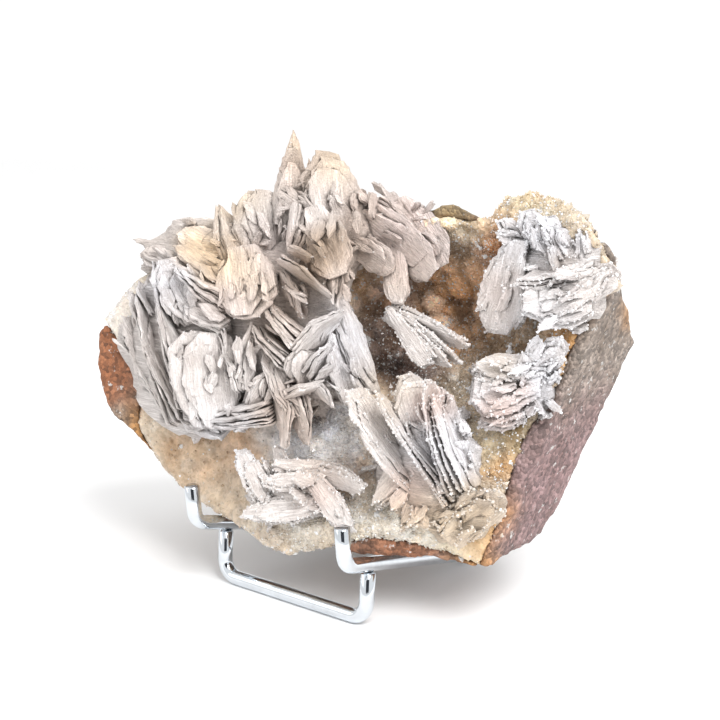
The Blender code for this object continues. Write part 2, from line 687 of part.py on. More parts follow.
def stand():
    """The cradle, one wire bent into hooks, arms, rear feet and back rest, and the front foot."""
    lean = radians(REST_TILT)
    corner, _ = heel()
    half = []
    for side in (-1, 1):
        hook = arm_point(0, side)
        foot = arm_point(corner.y, side)
        tip = hook + Vector((0, -1, HOOK_RISE))
        top = foot + Vector((0, sin(lean), cos(lean))) * REST_HEIGHT
        top.x *= REST_TAPER
        half.append([tip, hook, foot, top])
    cradle = wire("stand_cradle", half[0] + half[1][::-1], BEND)
    left, right = arm_point(FOOT_BACK, -1), arm_point(FOOT_BACK, 1)
    drop = Vector((0, 0, (WIRE / 2 + GAP) / cos(radians(ARM_TILT))))
    down = Vector((0, -FOOT_LEAN, WIRE_FLAT - left.z))
    corners = [left - drop, left + down, right + down, right - drop]
    turn = Vector((0, 0, -1)).angle(down + drop)
    foot = wire("stand_front_foot", corners, BEND, turn)
    return [cradle, foot]


def centred(things):
    """Moves everything so that the middle of the box's base is at the origin."""
    bpy.context.view_layer.update()
    graph = bpy.context.evaluated_depsgraph_get()
    points = []
    for thing in things:
        mesh = bpy.data.meshes.new_from_object(thing.evaluated_get(graph))
        points += [v.co.copy() for v in mesh.vertices]
        bpy.data.meshes.remove(mesh)
    low = Vector([min(p[i] for p in points) for i in range(3)])
    high = Vector([max(p[i] for p in points) for i in range(3)])
    base = Vector(((low.x + high.x) / 2, (low.y + high.y) / 2, low.z))
    for thing in things:
        thing.data.transform(Matrix.Translation(-base))


def build():
    """Builds the specimen and its stand."""
    for thing in list(bpy.data.objects):
        bpy.data.objects.remove(thing)
    for name in ("Barite with quartz", "Cutters"):
        bpy.context.scene.collection.children.link(bpy.data.collections.new(name))
    barite = material("barite", (0.62, 0.57, 0.54), 0.45)
    crust = relief_body("quartz_crust", crust_front, crust_back, CRUST_OUTLINE)
    body = rock()
    stand_parts = stand()
    nodes = {
        "barite_main": cluster("barite_main", MAIN_STACKS, MAIN_ROOTS),
        "barite_vug_fan": cluster("barite_vug_fan", VUG_FAN_STACKS),
        "barite_front": cluster("barite_front", FRONT_STACKS, FRONT_ROOTS),
        "barite_right": cluster("barite_right", RIGHT_STACKS, RIGHT_ROOTS),
        "barite_top_right": cluster("barite_top_right", TOP_RIGHT_STACKS, TOP_RIGHT_ROOTS),
        "barite_low": cluster("barite_low", LOW_STACKS, LOW_ROOTS),
    }
    above = GAP * CRUST_CLEARANCE
    floor = relief_body(
        "crust's room",
        lambda u, v: crust_front(u, v) + above,
        lambda u, v: BACK_REACH,
        swollen(CRUST_OUTLINE, above),
    )
    room = hull("rock's room", GAP * ROCK_CLEARANCE)
    for name, node in nodes.items():
        for cutter in (floor, room):
            copy = mesh_object(cutter.name + name, cutter.data.copy())
            combine(node, helper(copy), "DIFFERENCE")
        tidied(node)
        node.data.materials.clear()
        node.data.materials.append(barite)
    bpy.data.objects.remove(floor)
    bpy.data.objects.remove(room)
    tidied(crust)
    tidied(body)
    crust.data.materials.append(material("quartz", (0.42, 0.36, 0.29), 0.35))
    body.data.materials.append(material("iron-stained rock", (0.22, 0.13, 0.08), 0.9))
    chrome = material("chrome", (0.8, 0.8, 0.8), 0.1, 1.0)
    for part in stand_parts:
        part.data.materials.append(chrome)
    centred([crust, body, *nodes.values(), *stand_parts])


build()
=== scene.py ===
from collections import namedtuple
from math import cos, pi, radians, sin, tan

import bmesh
import bpy
import numpy as np
from bpy.props import FloatProperty, FloatVectorProperty, IntProperty, PointerProperty
from bpy.types import Operator, Panel, PropertyGroup
from mathutils import Matrix, Vector, noise
from mathutils.bvhtree import BVHTree


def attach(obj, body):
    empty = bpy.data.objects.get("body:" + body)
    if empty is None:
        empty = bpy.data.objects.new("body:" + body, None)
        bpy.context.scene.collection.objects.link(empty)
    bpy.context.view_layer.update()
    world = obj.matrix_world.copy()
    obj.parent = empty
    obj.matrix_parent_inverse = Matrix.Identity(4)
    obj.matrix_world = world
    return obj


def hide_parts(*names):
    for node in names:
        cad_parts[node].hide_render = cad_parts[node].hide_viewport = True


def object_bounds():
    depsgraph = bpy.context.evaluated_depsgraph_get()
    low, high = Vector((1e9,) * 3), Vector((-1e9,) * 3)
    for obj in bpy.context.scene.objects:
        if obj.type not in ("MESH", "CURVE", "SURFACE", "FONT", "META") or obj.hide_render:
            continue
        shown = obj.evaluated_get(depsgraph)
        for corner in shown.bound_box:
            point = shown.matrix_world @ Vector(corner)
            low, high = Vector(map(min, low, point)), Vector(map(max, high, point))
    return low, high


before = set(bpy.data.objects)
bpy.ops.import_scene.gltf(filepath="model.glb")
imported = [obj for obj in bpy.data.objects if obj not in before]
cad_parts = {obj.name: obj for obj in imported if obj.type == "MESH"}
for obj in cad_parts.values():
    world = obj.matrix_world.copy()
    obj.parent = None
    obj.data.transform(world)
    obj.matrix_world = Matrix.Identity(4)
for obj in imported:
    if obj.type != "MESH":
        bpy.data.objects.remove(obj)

bl_info = {
    "name": "Barite with quartz",
    "version": (1, 0, 0),
    "blender": (4, 5, 0),
    "location": "View3D > Sidebar > Specimen",
    "description": "Bladed barite on quartz druse and iron-stained rock, on a chromed wire stand",
    "category": "Object",
}

MM = 0.001
CAD_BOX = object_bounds()
CAD_GAP = 2e-5  # the pieces stay inside the CAD's box by this much

# Place from which the specimen is laid out: u runs to the viewer's right and v up on a plane
# through the specimen's middle, w is the distance in front of that plane, all in millimetres
EYE_AZIMUTH = 38.0
EYE_ELEVATION = 13.7
EYE_DISTANCE = 360.0
MIDDLE = Vector((9.651, -15.795, 64.818))
FACE_SLOPE = 0.45  # how fast the specimen's face comes forward to the right

# Camera, in degrees and metres
CAMERA_AZIMUTH = 37.96
CAMERA_ELEVATION = 13.73
CAMERA_DISTANCE = 0.32788
CAMERA_TARGET = Vector((0.02889, -0.040395, 0.07246))

# Wire stand, in millimetres
HOOK_SPACING = 50.9
HOOK_HEIGHT = 19.6
HOOK_RISE = 10.6
ARM_TILT = 15.7
ARM_TAPER = 0.09
FOOT_BACK = 10.7
FOOT_LEAN = 0.9
BEND = 4.6
BEND_STEPS = 12
CHAMFER = 0.35
CHAMFERED = 0.72  # the wire's ends against its full radius
REST_HEIGHT = 62.0
REST_TILT = 14.0
REST_TAPER = 0.8  # width at the top of the back rest against the width at the rear feet
STAND_AT = Vector((-1.349, -40.395, 0.018))  # the hooks' middle at the table


def view_axes(azimuth, elevation):
    """Directions to a viewer's right, up the view and towards the viewer."""
    a, e = radians(azimuth), radians(elevation)
    towards = Vector((sin(a) * cos(e), -cos(a) * cos(e), sin(e)))
    right = Vector((cos(a), sin(a), 0))
    return right, towards.cross(right), towards


RIGHT, UP, TOWARDS = view_axes(EYE_AZIMUTH, EYE_ELEVATION)
EYE = MIDDLE + TOWARDS * EYE_DISTANCE


def seen(u, v, w):
    """The point that the viewer sees at u, v on the middle plane, w in front of that plane."""
    on_plane = MIDDLE + RIGHT * u + UP * v
    return EYE.lerp(on_plane, (EYE_DISTANCE - w) / EYE_DISTANCE) * MM


def on_face(u, v, h):
    """The point that the viewer sees at u, v, at h in front of the specimen's face."""
    return seen(u, v, FACE_SLOPE * u + h)


# A stack of barite plates: from base to tip (u, v, h), width of its plates, how far they are
# turned edge-on to the viewer (degrees), thickness of the stack, number of plates, the angle
# that they spread through towards the tip and the plates' outline
Stack = namedtuple("Stack", "base tip width turn thick plates spread shape", defaults=["book"])

# Half width at shares of the length, on the two sides of a plate
PLATE_SIDES = {
    "book": (
        ((0.0, 0.6), (0.35, 0.98), (0.8, 0.88), (0.95, 0.45), (1.0, -0.15)),
        ((0.0, -0.5), (0.04, 0.6), (0.5, 1.0), (0.86, 0.72), (1.0, 0.2)),
    ),
    "blade": (
        ((0.0, 0.35), (0.45, 0.95), (0.9, 0.4), (1.0, -0.08)),
        ((0.0, -0.3), (0.05, 0.4), (0.6, 1.0), (1.0, 0.12)),
    ),
    "petal": (
        ((0.0, 0.4), (0.36, 0.8), (0.72, 1.0), (0.95, 0.6), (1.0, -0.2)),
        ((0.0, -0.35), (0.04, 0.35), (0.5, 0.9), (0.84, 0.86), (1.0, 0.3)),
    ),
    "point": (
        ((0.0, 0.8), (0.34, 1.0), (0.66, 0.62), (0.9, 0.2), (1.0, -0.04)),
        ((0.0, -0.7), (0.04, 0.85), (0.42, 0.86), (0.74, 0.5), (1.0, 0.06)),
    ),
}

ROSETTE_STACKS = (
    Stack((-45, -17, 4), (-58, 20, 6), 17, 72, 6, 6, 8),
    Stack((-42, -13, 9), (-53, 25, 10), 16, 70, 7, 6, 8),
    Stack((-46, -16, 1), (-61, 11, 3), 10, 35, 4, 3, 6),
    Stack((-38, -18, 10), (-41, 8, 15), 20, 12, 7, 4, 6, "petal"),
    Stack((-30, -8, 13), (-28, 10, 15), 6, 50, 3, 2, 5, "blade"),
    Stack((-30, -8, 12), (-36, 8, 14), 8, 78, 5, 4, 22, "blade"),
    Stack((-42, 9, 11), (-50, 26.5, 13), 14, 18, 6, 3, 6, "petal"),
    Stack((-33, 14, 14), (-48, 25, 15), 10, 66, 7, 6, 16),
    Stack((-34, 8, 13), (-45, 15, 14), 9, 30, 5, 3, 8, "petal"),
    Stack((-22, -13, 8), (-42, -15, 9), 12, 74, 7, 6, 10),
    Stack((-34, -18, 7), (-46, -14, 8), 9, 35, 5, 2, 6),
)
ROSETTE_ROOTS = (
    ((-42, 3, 0), (19, 22, 10)),
    ((-25, 8, 0), (20, 23, 9)),
    ((-37, 26, -2), (18, 10, 8)),
)

CREST_STACKS = (
    # Upper left
    Stack((-44, 24, 3), (-56, 28, 4), 8, 30, 5, 2, 5, "petal"),
    Stack((-35, 26, 3), (-46.5, 33.5, 4), 10, 20, 5, 3, 8),
    Stack((-31, 27, 3), (-36.5, 40, 5), 11, 32, 5, 3, 8, "point"),
    Stack((-25, 27, 2), (-27, 44, 4), 14, 14, 6, 3, 6),
    Stack((-26, 15, 10), (-47.5, 29.5, 8), 10, 40, 5, 3, 5),
    Stack((-30, 29, 12), (-28, 10.5, 19), 15, 18, 5, 3, 6, "petal"),
    Stack((-25, 27, 12), (-24, 15, 15), 9, -15, 4, 2, 6, "petal"),
    # Crest
    Stack((-18, 34, 0), (-16.4, 59.2, 2), 10.5, 14, 6, 3, 4, "point"),
    Stack((-13, 34, 1), (-13, 52, 2), 4, 20, 4, 2, 4, "blade"),
    Stack((-5, 26, 1), (-9, 54.5, 3), 14.5, 18, 7, 4, 5, "petal"),
    Stack((3, 28, -3), (-3, 45.5, -2), 8, 42, 5, 3, 6),
    Stack((-20, 44, 5), (-12, 37, 8), 7, 30, 4, 2, 5, "petal"),
    Stack((-12, 39, 9), (-5, 21, 15), 13, 16, 5, 3, 8, "petal"),
    Stack((-14, 40, 8), (-18.5, 26, 13), 9, 76, 7, 4, 12, "blade"),
    Stack((-7, 28, 10), (-6, 13, 14), 7, 60, 5, 3, 10, "blade"),
)
CREST_ROOTS = (((-11, 33, -3), (13, 16, 8)),)

LATTICE_STACKS = (
    Stack((-21, 26, 14), (-6.5, 16.5, 15), 13, 76, 2.2, 2, 3, "blade"),
    Stack((-20, 23, 11), (-15, 10.5, 12), 10, 70, 3, 2, 5, "blade"),
    Stack((-15, 4, 12), (-25, 16, 13), 12, 80, 6, 4, 12, "blade"),
    Stack((-18.5, -1, 12), (-28, 10, 13), 12, 80, 5, 4, 10, "blade"),
    Stack((-17, 2, 12), (-3.8, 12.5, 15), 9, 50, 4, 3, 6, "blade"),
    Stack((-13.5, -4, 9), (-6.5, 5, 12), 8, 72, 5, 3, 14, "blade"),
    Stack((-2.5, -12, 5), (-7.5, 8, 12), 9, 38, 3.5, 2, 4, "blade"),
    Stack((3.5, -9, 1), (-6, 16, 10), 10, 45, 4, 2, 4, "petal"),
    Stack((-15.5, -6, 8), (-14, 3, 13), 10, 20, 4, 3, 10, "petal"),
    Stack((-19.5, -9.5, 9), (-9, -6, 11), 9, 75, 3.2, 2, 6, "blade"),
    Stack((-12, -5, 9), (-6.5, -12.5, 9), 9, 72, 2.4, 2, 5, "blade"),
    Stack((-15.5, -15, 7), (-24, 3, 11), 10, 42, 4, 3, 6),
    Stack((-29, -13, 8), (-22, -3, 10), 9, 35, 4, 3, 14, "petal"),
    Stack((-20, -4, 8), (-19.5, -22.8, 8), 9, 66, 5, 4, 8),
    Stack((-17, -6, 7), (-13.8, -22.4, 8), 9, 60, 5, 5, 12),
)
LATTICE_ROOTS = (((-12, 4, -3), (11, 18, 7)),)

RIDGE_STACKS = (
    Stack((10, 41, -8), (21.5, 24, -4), 12, 22, 4, 3, 5, "petal"),
    Stack((5, 42, -5), (18.5, 28, -2), 7, 70, 2.6, 2, 4, "blade"),
    Stack((1, 39, -3), (20, 22.3, 2), 14, 42, 4.5, 4, 8, "petal"),
    Stack((8, 32, -3), (10, 14.2, 2), 8, 25, 3, 2, 4, "petal"),
    Stack((-3, 32, -2), (8.5, 23.5, 4), 9, 32, 4, 3, 8, "petal"),
    Stack((12, 31, -8), (16.5, 20, -6), 8, 30, 4, 2, 6),
)
RIDGE_ROOTS = (((6, 35, -10), (10, 7, 8)),)

VUG_FAN_STACKS = (
    Stack((7, 13.8, -2), (28.4, 3.4, 0), 7, 60, 3, 2, 3),
    Stack((7, 13.2, -1), (26.6, -0.9, 0), 7, 68, 3, 2, 3),
    Stack((7, 12.6, -1), (22.8, -2.2, 1), 7, 58, 3, 2, 3),
    Stack((7.4, 13.2, 0), (17.8, -1.6, 1), 7, 34, 2.6, 2, 3, "petal"),
    Stack((12, 9, -4), (20, 2, -19), 8, 60, 6, 2, 8),
)

FRONT_STACKS = (
    Stack((21, -39, 2), (-3, -7, 13), 15, 48, 5, 4, 6, "petal"),
    Stack((25, -37, 5), (4, -8, 16), 12, 72, 5, 4, 7),
    Stack((27, -34, 6), (17, -5, 15), 14, 64, 7, 6, 3),
    Stack((24, -33, 3), (13, -5, 10), 17, 10, 6, 3, 8, "petal"),
    Stack((28, -34, 3), (22, -7, 10), 9, 56, 5, 3, 5),
    Stack((19, -18, 0), (11, -3.5, 6), 10, 18, 5, 2, 6, "petal"),
    Stack((14, -27, 6), (3.6, -38, 9), 9, 30, 5, 3, 8, "point"),
    Stack((18, -33, 5), (10, -44.5, 8), 8, 35, 4, 2, 6, "point"),
    Stack((22, -45, 3), (37, -34, 5), 12, 30, 6, 3, 10),
)
FRONT_ROOTS = (((18, -29, 1), (14, 16, 9)), ((24, -40, 0), (12, 8, 7)))

RIGHT_STACKS = (
    Stack((47, -7, 0), (28, -8, 6), 17, 14, 6, 4, 6, "petal"),
    Stack((49, -2, 0), (29, -1.5, 5), 9, 30, 5, 3, 6),
    Stack((43, -5, 0), (53, 5, 2), 9, 20, 5, 3, 8, "petal"),
    Stack((43, -13, 0), (30, -16, 4), 8, 30, 5, 4, 8),
)
RIGHT_ROOTS = (((40.5, -7, -3), (9.5, 8.5, 6)),)

TOP_RIGHT_STACKS = (
    Stack((49, 27, 0), (43, 39, 5), 10, 14, 5, 3, 8, "petal"),
    Stack((55, 23, 0), (49, 37.5, 5), 9, 24, 5, 3, 6, "petal"),
    Stack((59, 22, -1), (57.5, 33.5, 3), 8, 40, 4, 2, 6),
    Stack((43, 30, 0), (35.5, 36.5, 3), 6, 30, 4, 2, 6),
    Stack((64, 21, 0), (41, 14, 6), 15, 18, 6, 5, 8, "petal"),
    Stack((61, 23, 0), (39, 20, 5), 9, 62, 6, 5, 8),
    Stack((60, 14, 0), (46, 10, 5), 8, 26, 5, 3, 6),
    Stack((59, 16, 0), (66, 23.5, 2), 9, 25, 5, 3, 6, "petal"),
    # Oval plate at the right of the vug
    Stack((41.2, 31.5, 3), (34, 6.5, -4), 13.5, 206, 3, 2, 4, "petal"),
    Stack((44, 14, -6), (37, 24, -1), 8, 30, 4, 2, 6),
)
TOP_RIGHT_ROOTS = (((52, 21, -3), (13, 12, 7)),)

LOW_STACKS = (
    Stack((-23, -39, 6), (-30.5, -22.5, 8), 7.5, 28, 5, 3, 6, "petal"),
    Stack((-7, -28.5, 4), (-22.5, -27.5, 8), 6, 20, 4, 3, 6),
    Stack((-8, -31, 7), (-25, -31.5, 10), 6, 25, 4, 2, 5),
    Stack((-10, -27.5, 6), (1.2, -33, 10), 6, 30, 4, 2, 5),
    Stack((-8, -37, 7), (-30.5, -39.5, 10), 8, 30, 4.5, 4, 6),
    Stack((-12, -30, 7), (-2.4, -44.8, 13), 7, 28, 4.5, 3, 5),
)
LOW_ROOTS = (((-16, -34, 4), (9, 8, 5)),)

# Clusters: piece, CAD node, stacks, roots, share of the rims that quartz has sugared, how many
# small flakes grow askew and how ragged the rims are, both against the rosette's
CLUSTERS = {
    "rosette": ("barite_rosette", "barite_main", ROSETTE_STACKS, ROSETTE_ROOTS, 0.1, 1.0, 1.0),
    "crest": ("barite_crest", "barite_main", CREST_STACKS, CREST_ROOTS, 0.05, 0.8, 1.0),
    "lattice": ("barite_lattice", "barite_main", LATTICE_STACKS, LATTICE_ROOTS, 0.15, 0.4, 0.7),
    "ridge": ("barite_ridge", "barite_main", RIDGE_STACKS, RIDGE_ROOTS, 0.1, 0.2, 0.5),
    "fan": ("barite_fan", "barite_vug_fan", VUG_FAN_STACKS, (), 1.6, 0.0, 0.5),
    "front": ("barite_blades", "barite_front", FRONT_STACKS, FRONT_ROOTS, 0.8, 0.9, 1.0),
    "right": ("barite_plates", "barite_right", RIGHT_STACKS, RIGHT_ROOTS, 0.9, 0.8, 1.2),
    "top": ("barite_rim", "barite_top_right", TOP_RIGHT_STACKS, TOP_RIGHT_ROOTS, 0.7, 0.8, 1.2),
    "low": ("barite_sprays", "barite_low", LOW_STACKS, LOW_ROOTS, 1.6, 0.1, 0.5),
}

# Where a colour lies: its name, centre (u, v, w) and radius
BARITE_SPOTS = (
    ("beige", -16, 48, -6, 9), ("cream", -16, 58, -6, 5), ("cream", -8, 51, -2, 6),
    ("white", -9, 40, 6, 6), ("beige", 0, 36, 0, 7), ("cream", -31, 42, -10, 6),
    ("orange", -43, 28, -10, 5), ("orange", -35, 24, -5, 5), ("cream", -29, 21, 0, 6),
    ("pink", -32, 17, 0, 6), ("stone", -53, 28, -19, 6), ("blue", -50, 21, -10, 7),
    ("white", -50, 0, -15, 14), ("white", -38, -8, -4, 12), ("blue", -36, -18, -6, 8),
    ("brown", -8, 30, 8, 6), ("brown", -13, 25, 6, 5), ("beige", -2, 22, 10, 6),
    ("pink", -22, 28, 0, 7), ("white", -22, 38, -8, 8), ("beige", -20, 10, 4, 7),
    ("white", -14, 2, 6, 8), ("blue", -5, 4, 6, 7), ("beige", -18, -14, 0, 7),
    ("pink", 9, 36, 0, 6), ("pink", 14, 29, 3, 7), ("brown", 10, 37, -2, 2),
    ("brown", 15, 31, 0, 2), ("beige", 12, 22, 4, 6), ("white", 18, 6, 6, 9),
    ("beige", 27, 3, 12, 4), ("blue", 48, 30, 24, 8), ("brown", 51, 26, 24, 3),
    ("pink", 36, 17, 12, 5), ("white", 32, 14, 12, 5), ("white", 46, 18, 24, 8),
    ("blue", 46, 12, 24, 6), ("white", 62, 21, 28, 7), ("blue", 40, -5, 20, 8),
    ("rose", 36, -12, 20, 4), ("rose", 40, -8, 20, 3), ("cream", 36, -2, 18, 4),
    ("white", 4, -14, 12, 10), ("cream", 6, -8, 14, 5), ("rose", 18, -12, 18, 4),
    ("blue", 20, -24, 18, 8), ("cream", 18, -40, 12, 9), ("rose", 14, -33, 12, 5),
    ("cream", 30, -40, 16, 7), ("white", -24, -30, -4, 9), ("beige", -12, -28, 0, 6),
    ("white", -14, -38, 2, 10), ("rose", -10, -34, 4, 3),
)
# The dark spots are painted shade in the deepest parts, in the vug and under the barite
QUARTZ_SPOTS = (
    ("pale", -61, 8, -32, 8), ("grey", -60, 12, -32, 5), ("sand", -54, -4, -27, 7),
    ("sand", -52, -16, -25, 7), ("tan", -43, -24, -20, 8), ("tan", -34, -28, -18, 9),
    ("ochre", -48, -22, -23, 3), ("sand", -38, -34, -15, 7), ("pale", -18, -41, -2, 9),
    ("tan", -22, -45, -4, 4), ("grey", -8, -20, 0, 9), ("grey", -20, -22, -4, 7),
    ("brown", -2, -30, 0, 5), ("pale", 4, -42, 8, 10), ("sand", -8, -47, 4, 5),
    ("umber", 14, 20, -14, 11), ("umber", 22, 12, -12, 11), ("dark", 8, 5, -14, 8),
    ("dark", 14, -2, -6, 6), ("brown", 20, 24, -2, 7), ("slate", 10, 16, -16, 4),
    ("slate", 14, 22, -10, 3), ("rust", 34, 28, 14, 7), ("cream", 26, 34, 12, 6),
    ("brown", 24, 27, 8, 4), ("tan", 36, 4, 12, 8), ("sand", 28, -3, 10, 6),
    ("sand", 24, -10, 10, 5), ("cream", 46, 42, 26, 7), ("sand", 56, 37, 28, 8),
    ("rust", 49, 45, 26, 3), ("ochre", 57, 11, 26, 5), ("ochre", 53, 3, 24, 5),
    ("ochre", 36, -28, 20, 3.5), ("ochre", 33, -46, 18, 7), ("olive", 41, -15, 20, 3),
    ("cream", 33, -23, 20, 4), ("sand", 36, -35, 20, 4), ("brown", -45, -18, -21, 4),
    ("umber", -31, -24, -16, 5), ("umber", -40, -29, -18, 3), ("rust", -57, -11, -30, 3),
    ("olive", 39, -21, 20, 3), ("cream", 26, -49, 16, 7), ("pale", 14, -46, 14, 8),
    ("dark", -27, 0, -16, 6), ("dark", -12, -13, -8, 5), ("dark", -26, 26, -12, 5),
)
ROCK_SPOTS = (
    ("rust", -64, 6, -34, 8), ("rust", -63, -4, -34, 7), ("ochre", -57, -17, -31, 5),
    ("ochre", -52, -25, -28, 5), ("stone", -62, -15, -31, 3), ("stone", -48, -31, -25, 5),
    ("pale", -69, 2, -40, 3), ("rust", -34, -42, -20, 7), ("khaki", 22, 40, 0, 12),
    ("khaki", 8, 38, -10, 12), ("rust", 34, 38, 10, 4), ("stone", 64, 6, 18, 14),
    ("stone", 58, -4, 13, 12), ("purple", 52, -22, 8, 12), ("purple", 44, -38, 7, 14),
    ("purple", 60, -14, 2, 8), ("ochre", 56, 12, 27, 4), ("ochre", 70, 12, 8, 4),
    ("ochre", 36, -40, 18, 5), ("rust", 10, -52, 10, 9), ("rust", -8, -52, 0, 9),
    ("ochre", 30, -52, 16, 5), ("stone", 0, 0, -60, 40), ("ochre", -20, 20, -50, 14),
    ("rust", 30, -10, -60, 14),
)


def tone(name, default):
    """A colour that a user may change, as it shows on a screen."""
    return FloatVectorProperty(
        name=name,
        description="Colour of the surface where the specimen shows " + name.lower(),
        subtype="COLOR_GAMMA",
        size=3,
        min=0.0,
        max=1.0,
        default=default,
    )


def measure(name, about, default, low=0.0, unit="LENGTH"):
    """A measure that a user may change."""
    return FloatProperty(name=name, description=about, default=default, min=low, unit=unit)


def number(name, about, default, low):
    """A whole number that a user may change."""
    return IntProperty(name=name, description=about, default=default, min=low)


class BariteSettings(PropertyGroup):
    """The plates of barite."""

    white: tone("White barite", (0.93, 0.91, 0.90))
    blue: tone("Bluish white barite", (0.91, 0.92, 0.95))
    pink: tone("Pinkish barite", (0.88, 0.82, 0.80))
    rose: tone("Rose barite", (0.88, 0.76, 0.71))
    beige: tone("Beige barite", (0.87, 0.80, 0.75))
    cream: tone("Cream barite", (0.88, 0.80, 0.69))
    orange: tone("Orange-cream barite", (0.91, 0.79, 0.62))
    stone: tone("Grey-beige barite", (0.84, 0.80, 0.77))
    brown: tone("Brown-stained barite", (0.68, 0.58, 0.47))
    cell: measure("Facet length", "Spacing of the points along a plate", 0.0011, 0.0004)
    rim: measure("Rim raggedness", "How far the rims of the plates are broken back", 0.0011)
    rough: measure("Plate relief", "Height of the relief on the plates' faces", 0.0003)


class QuartzSettings(PropertyGroup):
    """The crust of quartz and its druse."""

    pale: tone("Pale quartz", (0.86, 0.83, 0.78))
    grey: tone("Grey quartz", (0.87, 0.86, 0.86))
    slate: tone("Slate-grey quartz", (0.78, 0.73, 0.75))
    sand: tone("Sandy quartz", (0.81, 0.75, 0.67))
    tan: tone("Tan quartz", (0.73, 0.64, 0.54))
    brown: tone("Brown quartz", (0.79, 0.69, 0.60))
    umber: tone("Umber quartz", (0.85, 0.70, 0.56))
    # Painted shade in the deepest parts of the crust
    dark: tone("Painted shade on quartz", (0.42, 0.35, 0.34))
    cream: tone("Cream quartz", (0.90, 0.84, 0.72))
    ochre: tone("Ochre quartz", (0.76, 0.57, 0.33))
    rust: tone("Rusty quartz", (0.66, 0.45, 0.29))
    olive: tone("Olive quartz", (0.46, 0.38, 0.22))
    voxel: measure("Facet size", "Size of the crust's facets", 0.0007, 0.0004)
    swell: measure("Unevenness", "Height of the small swellings on the crust", 0.0013)
    point: measure("Crystal size", "Length of a usual crystal of the druse", 0.0008, 0.0002)
    count: number("Crystals", "Number of crystals in the druse on the crust", 13500, 0)
    sugar: number("Crystals on barite", "Largest number of crystals on the barite", 18500, 1)


class RockSettings(PropertyGroup):
    """The iron-stained rock."""

    rust: tone("Rust", (0.58, 0.36, 0.22))
    ochre: tone("Ochre", (0.74, 0.54, 0.30))
    khaki: tone("Khaki", (0.62, 0.54, 0.39))
    stone: tone("Grey stone", (0.57, 0.53, 0.50))
    purple: tone("Purplish stone", (0.56, 0.46, 0.47))
    pale: tone("Pale rind", (0.76, 0.68, 0.58))
    voxel: measure("Facet size", "Size of the rock's facets", 0.0011, 0.0005)
    rough: measure("Hackle", "Depth of the rock's hackly breaks", 0.0011)


class StandSettings(PropertyGroup):
    """The chromed wire stand."""

    chrome: tone("Chrome", (0.86, 0.88, 0.90))
    wire: measure("Wire", "Diameter of the wire", 0.004, 0.001)
    sides: number("Sides", "Number of facets around the wire", 28, 8)


class StageSettings(PropertyGroup):
    """The floor, the lights and the camera."""

    floor: tone("Floor", (0.96, 0.96, 0.96))
    key: measure("Key light", "Power of the main light", 9.0, unit="POWER")
    fill: measure("Fill light", "Power of the fill light", 1.0, unit="POWER")
    sky: measure("Room light", "Strength of the even light from all round", 1.0, unit="NONE")


class SpecimenSettings(PropertyGroup):
    """All settings of the specimen."""

    barite: PointerProperty(type=BariteSettings)
    quartz: PointerProperty(type=QuartzSettings)
    rock: PointerProperty(type=RockSettings)
    stand: PointerProperty(type=StandSettings)
    stage: PointerProperty(type=StageSettings)


def linear(colour):
    """A screen colour as the renderer counts it."""
    c = np.array(colour)
    return np.where(c <= 0.04045, c / 12.92, ((c + 0.055) / 1.055) ** 2.4)


def perlin(points, size, seed=0.0):
    """Smooth noise between about -1 and 1 at each point."""
    places = (points / size + seed).tolist()
    return np.array([noise.noise(p) for p in places])


def bumps(points, size, seed):
    """Rounded swellings, from 0 in the seams to 1 on top."""
    places = (points / size + seed).tolist()
    near = np.array([noise.voronoi(p)[0][:2] for p in places])
    return np.clip((near[:, 1] - near[:, 0]) * 1.6, 0, 1) ** 0.7


def painted(points, spots, settings, base, shares=0.12):
    """The colour at each point, from the spots around it."""
    warp = np.stack([perlin(points, 0.005, k * 9.1) for k in range(3)], 1) * 0.0022
    warped = points + warp
    towards = np.array(TOWARDS)
    total = np.tile(linear(getattr(settings, base)), (len(points), 1)) * shares
    weight = np.full(len(points), shares)
    for name, u, v, w, radius in spots:
        away = warped - np.array(seen(u, v, w))
        depth = away @ towards
        away = away - np.outer(depth, towards) * 0.5
        share = np.exp(-(away**2).sum(1) / (radius * MM) ** 2)
        total += np.outer(share, linear(getattr(settings, name)))
        weight += share
    return total / weight[:, None]


# How a mesh keeps values with one, three or four numbers
VALUE_KINDS = {1: ("FLOAT", "value"), 3: ("FLOAT_VECTOR", "vector"), 4: ("FLOAT_COLOR", "color")}


def make_piece(name, points, faces, finish, values, node=None, slot=None, smooth=True):
    """A piece that rides with the part, with its finish and the values that the finish reads."""
    low, high = (np.array(p) for p in CAD_BOX)
    points = np.clip(points, low + CAD_GAP, high - CAD_GAP)
    mesh = bpy.data.meshes.new(name)
    mesh.from_pydata(points, [], faces)
    mesh.update()
    mesh.validate()
    mesh.materials.append(finish)
    mesh.polygons.foreach_set("use_smooth", np.full(len(mesh.polygons), smooth))
    for key, value in values.items():
        width = value.shape[1] if value.ndim > 1 else 1
        kind, field = VALUE_KINDS[width]
        layer = mesh.attributes.new(key, kind, "POINT")
        layer.data.foreach_set(field, value.astype(np.float32).ravel())
    piece = bpy.data.objects.new(name, mesh)
    bpy.context.scene.collection.objects.link(piece)
    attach(piece, "root")
    if node:
        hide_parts(node)
    return piece


def with_alpha(colours):
    """Colours with an opaque fourth value."""
    return np.concatenate([colours, np.ones((len(colours), 1))], 1)


